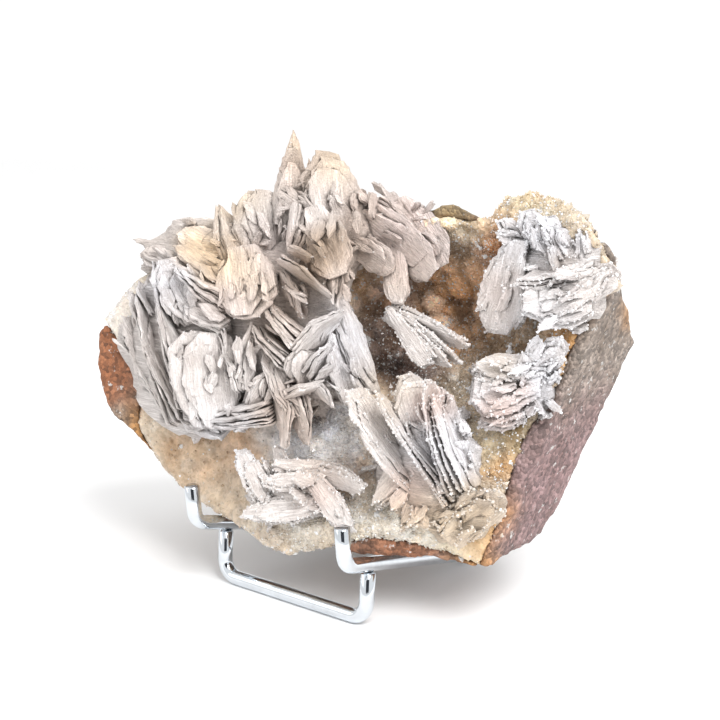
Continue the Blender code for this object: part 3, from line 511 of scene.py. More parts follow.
def remeshed(node, voxel, smoothing):
    """Points, normals and quads of a CAD node's shape, cut into even facets."""
    copy = bpy.data.objects.new("copy", bpy.data.objects[node].data.copy())
    bpy.context.scene.collection.objects.link(copy)
    even = copy.modifiers.new("Even", "REMESH")
    even.mode = "VOXEL"
    even.voxel_size = voxel
    soft = copy.modifiers.new("Soft", "SMOOTH")
    soft.factor = 0.5
    soft.iterations = smoothing
    bpy.context.view_layer.update()
    shown = copy.evaluated_get(bpy.context.evaluated_depsgraph_get())
    mesh = bpy.data.meshes.new_from_object(shown)
    bpy.data.objects.remove(copy)
    points, normals, faces = arrays_of(mesh)
    bpy.data.meshes.remove(mesh)
    return points, normals, faces


def arrays_of(mesh):
    """Points, normals and faces of a mesh."""
    count = len(mesh.vertices)
    points = np.empty(count * 3)
    mesh.vertices.foreach_get("co", points)
    normals = np.empty(count * 3)
    mesh.vertex_normals.foreach_get("vector", normals)
    faces = [tuple(face.vertices) for face in mesh.polygons]
    return points.reshape(-1, 3), normals.reshape(-1, 3), faces


class Shader:
    """A material or node group being put together."""

    def __init__(self, tree):
        self.tree = tree

    def add(self, kind, inputs=None, **settings):
        """Adds a node, sets its options and fills its inputs with values or other outputs."""
        node = self.tree.nodes.new(kind)
        for key, value in settings.items():
            setattr(node, key, value)
        for key, value in (inputs or {}).items():
            socket = node.inputs[key]
            if isinstance(value, bpy.types.NodeSocket):
                self.tree.links.new(value, socket)
            else:
                socket.default_value = value
        return node

    def ramp(self, value, stops):
        """A smooth change of value or colour along stops (place, colour)."""
        node = self.add("ShaderNodeValToRGB", {"Fac": value})
        line = node.color_ramp
        while len(line.elements) < len(stops):
            line.elements.new(0.5)
        for element, (place, colour) in zip(line.elements, stops):
            element.position = place
            element.color = (*colour, 1) if isinstance(colour, tuple) else (colour,) * 3 + (1,)
        return node.outputs["Color"]

    def mix(self, share, first, second, blend="MIX"):
        """A colour between two."""
        node = self.add("ShaderNodeMix", data_type="RGBA", blend_type=blend)
        for place, value in ((0, share), (6, first), (7, second)):
            socket = node.inputs[place]
            if isinstance(value, bpy.types.NodeSocket):
                self.tree.links.new(value, socket)
            elif socket.type == "RGBA" and isinstance(value, float):
                socket.default_value = (value, value, value, 1)
            elif socket.type == "RGBA":
                socket.default_value = (*value, 1)
            else:
                socket.default_value = value
        return node.outputs[2]

    def math(self, operation, first, second, clamp=False):
        """A sum on two values."""
        node = self.add("ShaderNodeMath", operation=operation, use_clamp=clamp)
        for socket, value in zip(node.inputs, (first, second)):
            if isinstance(value, bpy.types.NodeSocket):
                self.tree.links.new(value, socket)
            else:
                socket.default_value = value
        return node.outputs[0]

    def attribute(self, name, output):
        """A value that the mesh carries."""
        return self.add("ShaderNodeAttribute", attribute_name=name).outputs[output]

    def noise(self, vector, scale, detail=4.0, rough=0.55):
        """Fractal noise."""
        inputs = {"Vector": vector, "Scale": scale, "Detail": detail, "Roughness": rough}
        return self.add("ShaderNodeTexNoise", inputs).outputs[0]


def group(name, inputs, outputs, fill):
    """A shader node group, made once."""
    if name in bpy.data.node_groups:
        return bpy.data.node_groups[name]
    tree = bpy.data.node_groups.new(name, "ShaderNodeTree")
    for label, kind, default in inputs:
        socket = tree.interface.new_socket(label, in_out="INPUT", socket_type=kind)
        if default is not None:
            socket.default_value = default
    for label, kind in outputs:
        tree.interface.new_socket(label, in_out="OUTPUT", socket_type=kind)
    shader = Shader(tree)
    start = tree.nodes.new("NodeGroupInput")
    end = tree.nodes.new("NodeGroupOutput")
    for label, socket in fill(shader, start.outputs).items():
        tree.links.new(socket, end.inputs[label])
    return tree


def growth_lines():
    """Fine lines along a plate."""

    def fill(shader, given):
        stretch = shader.add(
            "ShaderNodeMapping",
            {"Vector": given["Grain"], "Scale": (0.12, 1.0, 2.4)},
        ).outputs[0]
        fine = shader.noise(stretch, given["Fineness"], 5.0, 0.6)
        broad = shader.noise(stretch, 420.0, 3.0, 0.5)
        fine, broad = shader.math("MULTIPLY", fine, 0.6), shader.math("MULTIPLY", broad, 0.4)
        lines = shader.math("ADD", fine, broad)
        return {"Lines": shader.ramp(lines, ((0.40, 0.0), (0.58, 1.0)))}

    return group(
        "Growth lines",
        (("Grain", "NodeSocketVector", None), ("Fineness", "NodeSocketFloat", 2200.0)),
        (("Lines", "NodeSocketFloat"),),
        fill,
    )


def crevice_shade_and_stain():
    """Painted shade and a stain: darker colour where a surface is sheltered."""

    def fill(shader, given):
        closed = shader.math("SUBTRACT", 0.72, given["Openness"], clamp=True)
        hidden = shader.math("MULTIPLY", closed, 1.9, clamp=True)
        rough = shader.noise(given["Place"], 700.0, 4.0, 0.6)
        uneven = shader.math("MULTIPLY", hidden, shader.math("ADD", rough, 0.55))
        amount = shader.math("MULTIPLY", uneven, given["Amount"], clamp=True)
        # Mixes in the dark colour where the surface is sheltered: painted shade in the crevices, and
        # a stain
        stained = shader.mix(amount, given["Colour"], given["Shade and stain"])
        return {"Colour": stained}

    return group(
        "Crevice shade and stain",
        (
            ("Colour", "NodeSocketColor", None),
            ("Shade and stain", "NodeSocketColor", (0.2, 0.15, 0.1, 1)),
            ("Openness", "NodeSocketFloat", 1.0),
            ("Amount", "NodeSocketFloat", 1.0),
            ("Place", "NodeSocketVector", None),
        ),
        (("Colour", "NodeSocketColor"),),
        fill,
    )


def crystal_grain():
    """A surface of small crystals that face different ways."""

    def fill(shader, given):
        cells = shader.add(
            "ShaderNodeTexVoronoi",
            {"Vector": given["Place"], "Scale": given["Fineness"]},
            feature="F1",
        )
        tint = shader.add("ShaderNodeSeparateColor", {"Color": cells.outputs["Color"]})
        return {
            "Height": shader.math("SUBTRACT", 1.0, cells.outputs["Distance"], clamp=True),
            "Cell": tint.outputs[0],
        }

    return group(
        "Crystal grain",
        (("Place", "NodeSocketVector", None), ("Fineness", "NodeSocketFloat", 1500.0)),
        (("Height", "NodeSocketFloat"), ("Cell", "NodeSocketFloat")),
        fill,
    )


def new_finish(name):
    """An empty material with its shader, its surface and the place on the piece."""
    finish = bpy.data.materials.new(name)
    finish.use_nodes = True
    shader = Shader(finish.node_tree)
    place = shader.add("ShaderNodeTexCoord").outputs["Object"]
    return finish, shader, finish.node_tree.nodes["Principled BSDF"], place


def link(shader, output, surface, key):
    """Joins an output to an input of the surface shader."""
    shader.tree.links.new(output, surface.inputs[key])


def mottled(shader, place, grain, dark, light, span=(0.3, 0.7)):
    """The piece's own colours, darker and lighter in patches."""
    shade = shader.ramp(shader.noise(place, *grain), ((span[0], dark), (span[1], light)))
    return shader.mix(1.0, shader.attribute("tint", "Color"), shade, "MULTIPLY")


def stained(shader, place, colour, stain, amount):
    """A colour with painted shade and a stain in the crevices."""
    given = {"Colour": colour, "Shade and stain": stain, "Amount": amount, "Place": place}
    given["Openness"] = shader.attribute("openness", "Fac")
    return shader.add("ShaderNodeGroup", given, node_tree=crevice_shade_and_stain()).outputs["Colour"]


def crystals_on(shader, place, fineness):
    """The height of small crystals and the chance value of each."""
    given = {"Place": place, "Fineness": fineness}
    return shader.add("ShaderNodeGroup", given, node_tree=crystal_grain()).outputs


def raised(shader, surface, height, strength, distance):
    """Lets a height show in the surface's shading."""
    given = {"Height": height, "Strength": strength, "Distance": distance}
    link(shader, shader.add("ShaderNodeBump", given).outputs[0], surface, "Normal")


def barite_finish():
    """Frosted white plates with fine lines, with painted shade and a stain in the crevices."""
    finish, shader, surface, place = new_finish("barite")
    given = {"Grain": shader.attribute("grain", "Vector"), "Fineness": 2100.0}
    lines = shader.add("ShaderNodeGroup", given, node_tree=growth_lines()).outputs["Lines"]
    base = mottled(shader, place, (160.0, 4.0, 0.6), (0.90, 0.86, 0.84), (1.13, 1.12, 1.11))
    dim = shader.math("MULTIPLY", shader.math("SUBTRACT", 1.0, lines), 0.42)
    lined = shader.mix(dim, base, (0.25, 0.20, 0.17))
    # Painted shade and a brown stain in the crevices
    colour = stained(shader, place, lined, (0.06, 0.043, 0.032, 1), 0.85)
    pores = shader.ramp(shader.noise(place, 1500.0, 2.0, 0.5), ((0.66, 0.0), (0.74, 0.4)))
    link(shader, shader.mix(pores, colour, (0.13, 0.11, 0.10)), surface, "Base Color")
    sheen = shader.ramp(shader.noise(place, 900.0, 3.0), ((0.35, 0.36), (0.65, 0.68)))
    link(shader, sheen, surface, "Roughness")
    ridges = shader.math("MULTIPLY", lines, 0.7)
    sugar = shader.math("MULTIPLY", crystals_on(shader, place, 1900.0)["Height"], 0.5)
    raised(shader, surface, shader.math("ADD", ridges, sugar), 0.9, 0.0005)
    surface.inputs["IOR"].default_value = 1.64
    return finish


def quartz_finish():
    """Translucent quartz with a skin of small crystals."""
    finish, shader, surface, place = new_finish("quartz crust")
    base = mottled(shader, place, (220.0, 5.0, 0.6), (0.82, 0.78, 0.74), (1.16, 1.15, 1.14))
    grains = crystals_on(shader, place, 1500.0)
    glints = shader.ramp(grains["Cell"], ((0.0, 0.88), (1.0, 1.12)))
    speckled = shader.mix(1.0, base, glints, "MULTIPLY")
    # Painted shade and a brown stain in the crevices
    colour = stained(shader, place, speckled, (0.05, 0.032, 0.022, 1), 0.35)
    link(shader, colour, surface, "Base Color")
    gloss = shader.ramp(grains["Cell"], ((0.0, 0.1), (0.5, 0.3), (1.0, 0.5)))
    link(shader, gloss, surface, "Roughness")
    height = shader.math("MULTIPLY", grains["Height"], shader.attribute("druse", "Fac"))
    raised(shader, surface, height, 0.8, 0.0004)
    surface.inputs["IOR"].default_value = 1.54
    surface.inputs["Subsurface Weight"].default_value = 0.25
    surface.inputs["Subsurface Radius"].default_value = (1.0, 0.75, 0.5)
    surface.inputs["Subsurface Scale"].default_value = 0.002
    return finish


def druse_finish():
    """Clear to milky quartz crystals."""
    finish, shader, surface, place = new_finish("quartz crystals")
    milk = mottled(shader, place, (600.0, 3.0), (0.86, 0.85, 0.84), (1.2, 1.2, 1.2), (0.35, 0.65))
    link(shader, milk, surface, "Base Color")
    haze = shader.ramp(shader.noise(place, 1200.0, 2.0), ((0.3, 0.03), (0.7, 0.22)))
    link(shader, haze, surface, "Roughness")
    surface.inputs["IOR"].default_value = 1.54
    surface.inputs["Transmission Weight"].default_value = 0.3
    return finish


def rock_finish():
    """Iron-stained rock, grainy where it is freshly broken."""
    finish, shader, surface, place = new_finish("iron-stained rock")
    base = mottled(shader, place, (150.0, 6.0, 0.65), (0.62, 0.57, 0.52), (1.26, 1.24, 1.22))
    grains = crystals_on(shader, place, 1000.0)
    salt = shader.ramp(grains["Cell"], ((0.0, 0.55), (0.5, 0.97), (1.0, 1.5)))
    grained = shader.mix(1.0, base, salt, "MULTIPLY")
    flecks = shader.ramp(shader.noise(place, 330.0, 4.0, 0.7), ((0.61, 0.0), (0.66, 0.85)))
    flecked = shader.mix(flecks, grained, (0.70, 0.68, 0.66))
    # Painted shade and a dark stain in the crevices
    colour = stained(shader, place, flecked, (0.05, 0.028, 0.015, 1), 0.9)
    link(shader, colour, surface, "Base Color")
    dull = shader.ramp(grains["Cell"], ((0.0, 0.7), (1.0, 0.95)))
    link(shader, dull, surface, "Roughness")
    height = shader.math("ADD", grains["Height"], shader.noise(place, 500.0, 6.0, 0.7))
    raised(shader, surface, height, 1.0, 0.0008)
    return finish


def chrome_finish(settings):
    """Bright chrome with faint smudges."""
    finish, shader, surface, place = new_finish("chromed wire")
    smudge = shader.noise(place, 260.0, 5.0, 0.6)
    chrome = linear(settings.chrome)
    bright, dim = tuple(chrome.tolist()), tuple((chrome * 0.86).tolist())
    link(shader, shader.ramp(smudge, ((0.4, bright), (0.75, dim))), surface, "Base Color")
    link(shader, shader.ramp(smudge, ((0.4, 0.05), (0.75, 0.16))), surface, "Roughness")
    surface.inputs["Metallic"].default_value = 1.0
    return finish


def plain_finish(name, colour):
    """A matt finish with a faint unevenness."""
    finish, shader, surface, place = new_finish(name)
    colour = np.array(colour)
    low, high = tuple((colour * 0.985).tolist()), tuple(colour.tolist())
    even = shader.ramp(shader.noise(place, 6.0, 3.0), ((0.3, low), (0.7, high)))
    link(shader, even, surface, "Base Color")
    surface.inputs["Roughness"].default_value = 0.9
    return finish


FINISHES = {}
SITES = []  # where small quartz crystals sit on the barite: place, direction, size, colour


def finish_named(name, make, *given):
    """The finish of this name, made when it is first needed."""
    if name not in FINISHES:
        FINISHES[name] = make(*given)
    return FINISHES[name]


# How far the plates of a stack fall short of the first one, as shares of its measures
LENGTH_LOSS = 0.26
WIDTH_LOSS = 0.3
THICKNESS_LOSS = 0.38
SHIFT_ASIDE = 0.12

# Lengths of the small plates that grow askew, in millimetres, and how many a root carries
FLAKE_LENGTHS = (3.5, 8.0)
STUD_LENGTHS = (4.0, 8.0)
STUD_COUNT = 26

# Where a plate has points across its width, and the half width under which it has fewer
NARROW = 0.0034
LEVELS = np.array([-1, -0.95, -0.82, -0.6, -0.36, -0.1, 0.16, 0.42, 0.66, 0.84, 0.95, 1.0])


def flakes_of(stack, flaky, chance):
    """Small plates that grow askew out of a stack."""
    base, tip = np.array(stack.base), np.array(stack.tip)
    length = np.linalg.norm(tip[:2] - base[:2])
    way = (tip - base) / length
    flakes = []
    flat = abs(stack.turn) < 45
    count = np.clip(length / 3.2, 2, 8) * flaky * (1.8 if flat and stack.width > 10 else 1.0)
    for _ in range(round(count * (0.3 if stack.shape == "point" else 1.0))):
        size = chance.uniform(*FLAKE_LENGTHS)
        aside = np.array([-way[1], way[0], 0]) * chance.uniform(-0.42, 0.42) * stack.width
        room = np.clip(0.92 - size / length, 0.05, 0.7)
        foot = base + (tip - base) * chance.uniform(0.0, room) + aside
        foot[2] += (chance.uniform(0.2, 0.6) if flat else chance.uniform(-0.5, 0.4)) * stack.thick
        bend = radians(chance.normal() * 20)
        across = np.array([-way[1], way[0], 0])
        ahead = way * cos(bend) + across * sin(bend)
        ahead[2] += chance.uniform(0.0, 0.35)
        turn = stack.turn + chance.normal() * 24
        width = size * chance.uniform(0.4, 0.75)
        shape = ("blade", "petal", "book")[chance.integers(3)]
        end = foot + ahead * size
        flakes.append(Stack(tuple(foot), tuple(end), width, turn, 1.6, 2, 9, shape))
    return flakes


def studs_of(centre, radii, chance):
    """Small plates that grow askew all round a lump of massive barite."""
    studs = []
    for _ in range(STUD_COUNT):
        way = chance.normal(size=3)
        way /= np.linalg.norm(way)
        foot = np.array(centre) + way * np.array(radii) * 0.86
        ahead = way + np.cross(way, chance.normal(size=3)) * 1.1
        size = chance.uniform(*STUD_LENGTHS)
        end = foot + ahead / np.linalg.norm(ahead) * size
        width = size * chance.uniform(0.5, 0.9)
        turn = chance.uniform(-90, 90)
        studs.append(Stack(tuple(foot), tuple(end), width, turn, 1.8, 2, 9, "petal"))
    return studs


def plate_arrays(stack, number, rim_depth, settings, chance):
    """Points, faces, places for the lines and rim shares of one plate of a stack."""
    base, tip = on_face(*stack.base), on_face(*stack.tip)
    along = (tip - base).normalized()
    facing = (TOWARDS - along * TOWARDS.dot(along)).normalized()
    normal = Matrix.Rotation(radians(stack.turn), 3, along) @ facing
    across = normal.cross(along)
    share = number / (stack.plates - 1) - 0.5
    inner = number > 0
    reach = (tip - base).length * (1 - LENGTH_LOSS * chance.random() * inner)
    half = stack.width * MM / 2 * (1 - WIDTH_LOSS * chance.random() * inner)
    aside = stack.width * MM * SHIFT_ASIDE * chance.uniform(-1, 1) * inner
    thick = stack.thick * MM / stack.plates * chance.uniform(1 - THICKNESS_LOSS, 1.0)
    offset = share * stack.thick * MM * (1 - 1 / stack.plates)
    swing = share * radians(stack.spread + 3) + radians(chance.uniform(-0.8, 0.8))
    spread = np.array(Matrix.Rotation(swing, 3, across))

    # Points along the plate and around its section
    columns = int(np.clip(round(reach / settings.cell), 6, 40))
    step = np.linspace(0, 1, columns + 1)
    s = 0.7 * step + 0.3 * (0.5 - 0.5 * np.cos(pi * step))
    levels = LEVELS if half > NARROW else LEVELS[[0, 1, 3, 6, 9, 11]]
    last = len(levels) - 1
    t = np.concatenate([levels, levels[-2:0:-1]])
    side = np.concatenate([np.ones(last + 1), -np.ones(last - 1)])
    side[[0, last]] = 0

    # Outline with ragged rims
    left, right = PLATE_SIDES[stack.shape]
    low = np.interp(s, *zip(*left))
    high = np.interp(s, *zip(*right))
    seed = chance.uniform(0, 90)
    for edge, shift in ((low, 0.0), (high, 40.0)):
        ragged = [
            0.8 * abs(noise.noise((x / 0.0045, seed + shift, 0.3)))
            + 0.8 * abs(noise.noise((x / 0.0013, seed + shift, 7.3)))
            for x in s * reach
        ]
        edge -= np.minimum(np.array(ragged) * rim_depth / half, np.abs(edge) * 0.42)
    wide = np.maximum(low + high, 0.03)
    y = (-low[:, None] + (t[None] + 1) / 2 * wide[:, None]) * half + aside
    x = np.repeat(s[:, None] * reach, len(t), 1)
    rim = np.clip((np.abs(t)[None] - 0.75) / 0.25, 0, 1) + np.clip((s - 0.93) / 0.07, 0, 1)[:, None]
    rim = np.clip(rim, 0, 1)

    # Thickness, curl and fine relief
    crown = np.where(np.abs(t) > 0.99, 0, np.where(np.abs(t) > 0.9, 0.82, 1.0))
    ends = np.clip(np.minimum(s, 1 - s) * 14 + 0.25, 0, 1)
    z = side[None] * crown[None] * ends[:, None] * thick / 2
    curl = chance.uniform(-0.03, 0.03)
    z = z + curl * (s**2)[:, None] * reach
    local = np.stack([x, y, z], 2).reshape(-1, 3)
    grain = local + np.array([seed, seed * 0.37, seed * 0.71]) * 0.01
    relief = perlin(grain * np.array([0.25, 1, 1]), 0.0011, seed) * settings.rough
    local[:, 2] += relief * np.sign(z.ravel() + 1e-9) * (thick > 0.0005)

    # Place in the specimen, a little uneven
    axes = np.stack([np.array(along), np.array(across), np.array(normal)])
    world = local @ axes @ spread.T + np.array(base + normal * offset)
    shake = np.stack([perlin(world, 0.0013, k * 5.7) for k in range(3)], 1)
    world = world + shake * (0.00008 + 0.00022 * rim.reshape(-1, 1))
    warp = np.stack([perlin(world, 0.0048, k * 3.9) for k in range(3)], 1)
    world = world + warp * 0.0003

    # Faces around the plate and at its two ends
    loop = len(t)
    rows = np.arange(columns)[:, None] * loop
    a = rows + np.arange(loop)[None]
    b = rows + (np.arange(loop)[None] + 1) % loop
    quads = np.stack([a, a + loop, b + loop, b], 2).reshape(-1, 4)
    end = columns * loop
    caps = [list(range(loop)), list(range(end + loop - 1, end - 1, -1))]
    return world, quads.tolist() + caps, grain, rim.ravel()


def root_arrays(centre, radii):
    """A rough lump of massive barite at the foot of a cluster."""
    bm = bmesh.new()
    bmesh.ops.create_icosphere(bm, subdivisions=4, radius=1)
    ball = np.array([v.co for v in bm.verts])
    faces = [[v.index for v in f.verts] for f in bm.faces]
    bm.free()
    seed = np.array(centre) * 0.1
    rough = 0.96 + 0.2 * perlin(ball, 0.45, seed) + 0.12 * np.abs(perlin(ball, 0.2, seed))
    rough += 0.05 * perlin(ball * np.array([1, 0.3, 1]), 0.06, seed)
    shaped = ball * np.array(radii) * rough[:, None] + np.array(centre)
    world = np.array([on_face(*p) for p in shaped])
    return world, faces, world, np.zeros(len(world))


def joined(bodies):
    """Points and faces of several bodies as one."""
    faces, start = [], 0
    for points, quads in bodies:
        faces += [[i + start for i in face] for face in quads]
        start += len(points)
    return np.concatenate([points for points, _ in bodies]), faces


def build_cluster(key):
    """One cluster of barite plates."""
    piece, node, stacks, roots, sugar, flaky, ragged = CLUSTERS[key]
    settings = bpy.context.scene.specimen.barite
    chance = np.random.default_rng(len(key) * 7 + len(stacks))
    bodies = [root_arrays(*root) for root in roots]
    for stack in stacks:
        fine = stack._replace(plates=stack.plates + (2 if stack.thick > 3.5 else 1))
        rim = settings.rim * ragged * (0.3 if stack.shape == "point" else 1.0)
        bodies += [plate_arrays(fine, i, rim, settings, chance) for i in range(fine.plates)]
        for flake in flakes_of(stack, flaky, chance):
            bodies += [plate_arrays(flake, i, rim, settings, chance) for i in range(2)]
    for root in roots:
        for flake in studs_of(*root, chance):
            bodies += [plate_arrays(flake, i, settings.rim, settings, chance) for i in range(2)]
    points, faces = joined([body[:2] for body in bodies])
    grain, rim = (np.concatenate([body[k] for body in bodies]) for k in (2, 3))
    tint = painted(points, BARITE_SPOTS, settings, "white")
    values = {"tint": with_alpha(tint), "grain": grain, "openness": np.ones(len(points))}
    finish = finish_named("barite", barite_finish)
    thing = make_piece(piece, points, faces, finish, values, node, "barite")
    thing.data.set_sharp_from_angle(angle=radians(38))
    _, normals, _ = arrays_of(thing.data)
    picks = np.flatnonzero(chance.random(len(points)) < sugar * (rim * 0.6 + 0.05))
    for i in picks:
        size = chance.uniform(0.25, 0.45) * (1.5 if sugar > 0.5 else 1.0)
        SITES.append((points[i], normals[i], size, tint[i] * 0.6 + 0.36))
    return thing


# These crystals are painted white, as glints
GLINT_SHARE = 0.3  # share of the druse's crystals that catch the light, small and white


def astray(ways, amount, chance):
    """Directions turned aside at random."""
    ways = ways + chance.normal(size=ways.shape) * amount
    return ways / np.linalg.norm(ways, axis=1, keepdims=True)


def crystal_arrays(places, directions, lengths, slim, chance):
    """Small quartz crystals: five-sided points, sunk in what carries them."""
    count, sunk, shown = len(places), 0.3, 0.6
    aside = chance.normal(size=(count, 3))
    first = np.cross(directions, aside)
    first /= np.linalg.norm(first, axis=1, keepdims=True)
    second = np.cross(directions, first)
    angle = np.arange(5) * 2 * pi / 5
    ring = first[:, None] * np.cos(angle)[:, None] + second[:, None] * np.sin(angle)[:, None]
    radius = (lengths * slim)[:, None, None]
    low = places[:, None] + ring * radius - (directions * lengths[:, None] * sunk)[:, None]
    top = (places + directions * lengths[:, None] * shown)[:, None]
    points = np.concatenate([low, top], 1).reshape(-1, 3)
    caps = [(i, (i + 1) % 5, 5) for i in range(5)]
    start = np.arange(count) * 6
    sides = (start[:, None, None] + np.array(caps)[None]).reshape(-1, 3).tolist()
    floors = (start[:, None] + np.array([4, 3, 2, 1, 0])[None]).tolist()
    return points, sides + floors


# Where the druse is dense: centre (u, v, w) and radius
DRUSE = (
    (17, 13, -8, 26), (-8, -21, 0, 10), (34, 30, 14, 10), (48, 40, 26, 14), (5, -42, 8, 12),
    (36, 2, 12, 13), (-18, -42, -2, 9), (27, -10, 8, 9), (36, -30, 18, 8),
)


def nearness(points, u, v, w, radius):
    """How near a place each point lies, from 0 to 1."""
    away = ((points - np.array(seen(u, v, w))) ** 2).sum(1)
    return np.exp(-away / (radius * MM) ** 2)


def druse_share(points):
    """How dense the druse is at each point, from 0 to 1."""
    share = np.full(len(points), 0.05)
    for spot in DRUSE:
        share += nearness(points, *spot)
    return np.clip(share, 0, 1)


# The vug, and the smooth quartz at the left rim: centre (u, v, w) and radius
VUG = (17, 13, -10, 26)
SMOOTH_QUARTZ = (-61, 9, -31, 9)

# Rounded lumps of druse: each value on the open crust and what the vug adds to it
LUMP_SIZE = (0.0021, 0.0034)
LUMP_HEIGHT = (0.16, 0.55)
LUMP_HUE = (0.1, 0.3)
# What the vug adds to the lumps' light is painted light, making the lumps in the vug lighter
LUMP_LIGHT = (1.0, 0.7)
LUMP_UNEVEN = (0.08, 0.5)
# Painted shade in the seams between lumps, deeper in the vug
SEAM_SHADE = (0.12, 0.4)
LUMP_TRIES = 4000
LUMP_SPACING = 0.6


def lumps(points):
    """Rounded lumps of druse: their height over each point, how far from a seam it lies and
    each lump's own tone and hue, with painted light in the vug. The lumps are bigger and rounder in
    the vug."""
    chance = np.random.default_rng(5)
    vug = nearness(points, *VUG)
    centres, sizes, steepness, shades = [], [], [], []
    for i in chance.permutation(len(points))[:LUMP_TRIES]:
        size, steep, hue, light, uneven = (
            rest + more * vug[i]
            for rest, more in (LUMP_SIZE, LUMP_HEIGHT, LUMP_HUE, LUMP_LIGHT, LUMP_UNEVEN)
        )
        size *= chance.uniform(0.5, 1.8)
        room = LUMP_SPACING * (np.array(sizes) + size)
        if sizes and (np.linalg.norm(np.array(centres) - points[i], axis=1) < room).any():
            continue
        centres.append(points[i])
        sizes.append(size)
        steepness.append(steep)
        hue *= chance.uniform(-0.7, 1)
        light += uneven * chance.uniform(-1, 1)
        shades.append(light * np.array([1, 1 + 0.4 * hue, 1 + hue]))
    height = np.zeros(len(points))
    share = np.zeros(len(points))
    shade = np.ones((len(points), 3))
    for centre, size, steep, own in zip(centres, sizes, steepness, shades):
        away = ((points - centre) ** 2).sum(1) / size**2
        inside = np.clip(1 - away, 0, 1) ** 0.5
        higher = inside * size * steep > height
        height[higher] = (inside * size * steep)[higher]
        share[higher] = np.clip(1 - 1.5 * away[higher], 0, 1)
        shade[higher] = own
    return height, share, shade


def quartz_surface(settings):
    """The crust's shape: the CAD crust with rounded lumps, and how bright it is at each point, with
    painted shade in the seams between lumps and painted light in the vug.
    """
    voxel = settings.voxel * 1
    points, normals, faces = remeshed("quartz_crust", voxel, 10)
    calm = 1 - 0.8 * nearness(points, *SMOOTH_QUARTZ)
    high, share, shade = lumps(points)
    fine = bumps(points, 0.0032, 3.3) * 0.4 + bumps(points, 0.0015, 7.7) * 0.16 - 0.2
    height = (high + fine * settings.swell) * calm
    # Painted shade in the seams between the lumps
    seams = (SEAM_SHADE[0] + SEAM_SHADE[1] * nearness(points, *VUG)) * (1 - share) * calm
    return points + normals * height[:, None], shade * (1 - seams[:, None]), faces


ROCK_OUT = 0.0008  # the rock's high points stand out by this much, up to the crust


def rock_surface(settings):
    """The rock's shape: the CAD rock with hackly breaks."""
    voxel = settings.voxel * 1
    points, normals, faces = remeshed("matrix_rock", voxel, 2)
    deep = np.abs(perlin(points, 0.011)) * 1.1 + np.abs(perlin(points, 0.0045, 4.4)) * 0.6
    deep += np.abs(perlin(points, 0.002, 8.8)) * 0.3
    return points - normals * (deep * settings.rough - ROCK_OUT)[:, None], normals, faces


CREVICE_REACH = 0.007  # how far from a point its crevice is felt
GOLDEN_ANGLE = 2.399963


# The openness is the mask for the painted shade and the stain in the crevices
def openness(points, normals, tree, reach, rays):
    """How open each point is to the air around it, from 0 to 1."""
    ring = []
    for i in range(rays):
        angle, lift = i * GOLDEN_ANGLE, 0.25 + 0.7 * (i + 0.5) / rays
        flat = (1 - lift**2) ** 0.5
        ring.append((cos(angle) * flat, sin(angle) * flat, lift))
    open_share = np.zeros(len(points))
    helper = np.where(np.abs(normals[:, 2:3]) < 0.8, [[0, 0, 1.0]], [[1.0, 0, 0]])
    first = np.cross(normals, helper)
    first /= np.maximum(np.linalg.norm(first, axis=1, keepdims=True), 1e-9)
    second = np.cross(normals, first)
    starts = (points + normals * 0.00025).tolist()
    for x, y, z in ring:
        ways = (first * x + second * y + normals * z).tolist()
        for i, (start, way) in enumerate(zip(starts, ways)):
            distance = tree.ray_cast(start, way, reach)[3]
            open_share[i] += 1 if distance is None else (distance / reach) ** 0.7
    return open_share / rays


def wire_path(points, radius):
    """A path through the points with its corners rounded."""
    path = [points[0]]
    for before, corner, after in zip(points, points[1:], points[2:]):
        back, on = (before - corner).normalized(), (after - corner).normalized()
        half = back.angle(on) / 2
        reach = radius / tan(half)
        centre = corner + (back + on).normalized() * radius / sin(half)
        start = corner + back * reach - centre
        turn = Matrix.Rotation((pi - 2 * half) / BEND_STEPS, 3, back.cross(on))
        for _ in range(BEND_STEPS + 1):
            path.append(centre + start)
            start = turn.inverted() @ start
    path.append(points[-1])
    return path


def wire_arrays(path, radius, sides):
    """A round wire along a path, its ends cut square with a small chamfer."""
    steps = zip([path[0], *path], [*path[1:], path[-1]])
    ways = [(after - before).normalized() for before, after in steps]
    first, last = ways[0], ways[-1]
    rings = [(path[0], first, CHAMFERED), (path[0] + first * CHAMFER, first, 1.0)]
    rings += [(centre, way, 1.0) for centre, way in zip(path[1:-1], ways[1:-1])]
    rings += [(path[-1] - last * CHAMFER, last, 1.0), (path[-1], last, CHAMFERED)]
    side = first.orthogonal().normalized()
    points = []
    before = first
    for centre, way, scale in rings:
        side = before.rotation_difference(way) @ side
        up = way.cross(side)
        before = way
        for k in range(sides):
            angle = 2 * pi * k / sides
            points.append((centre + (side * cos(angle) + up * sin(angle)) * radius * scale) * MM)
    end = (len(rings) - 1) * sides
    faces = []
    for a in range(0, end, sides):
        for k in range(sides):
            j = (k + 1) % sides
            faces.append((a + k, a + j, a + sides + j, a + sides + k))
    faces.append(tuple(range(sides - 1, -1, -1)))
    faces.append(tuple(range(end, end + sides)))
    return np.array(points), faces


def arm_point(back, side):
    """A point on an arm's axis, at a distance behind the hooks."""
    across = side * (HOOK_SPACING / 2 - ARM_TAPER * back)
    return Vector((across, back, HOOK_HEIGHT - tan(radians(ARM_TILT)) * back)) + STAND_AT


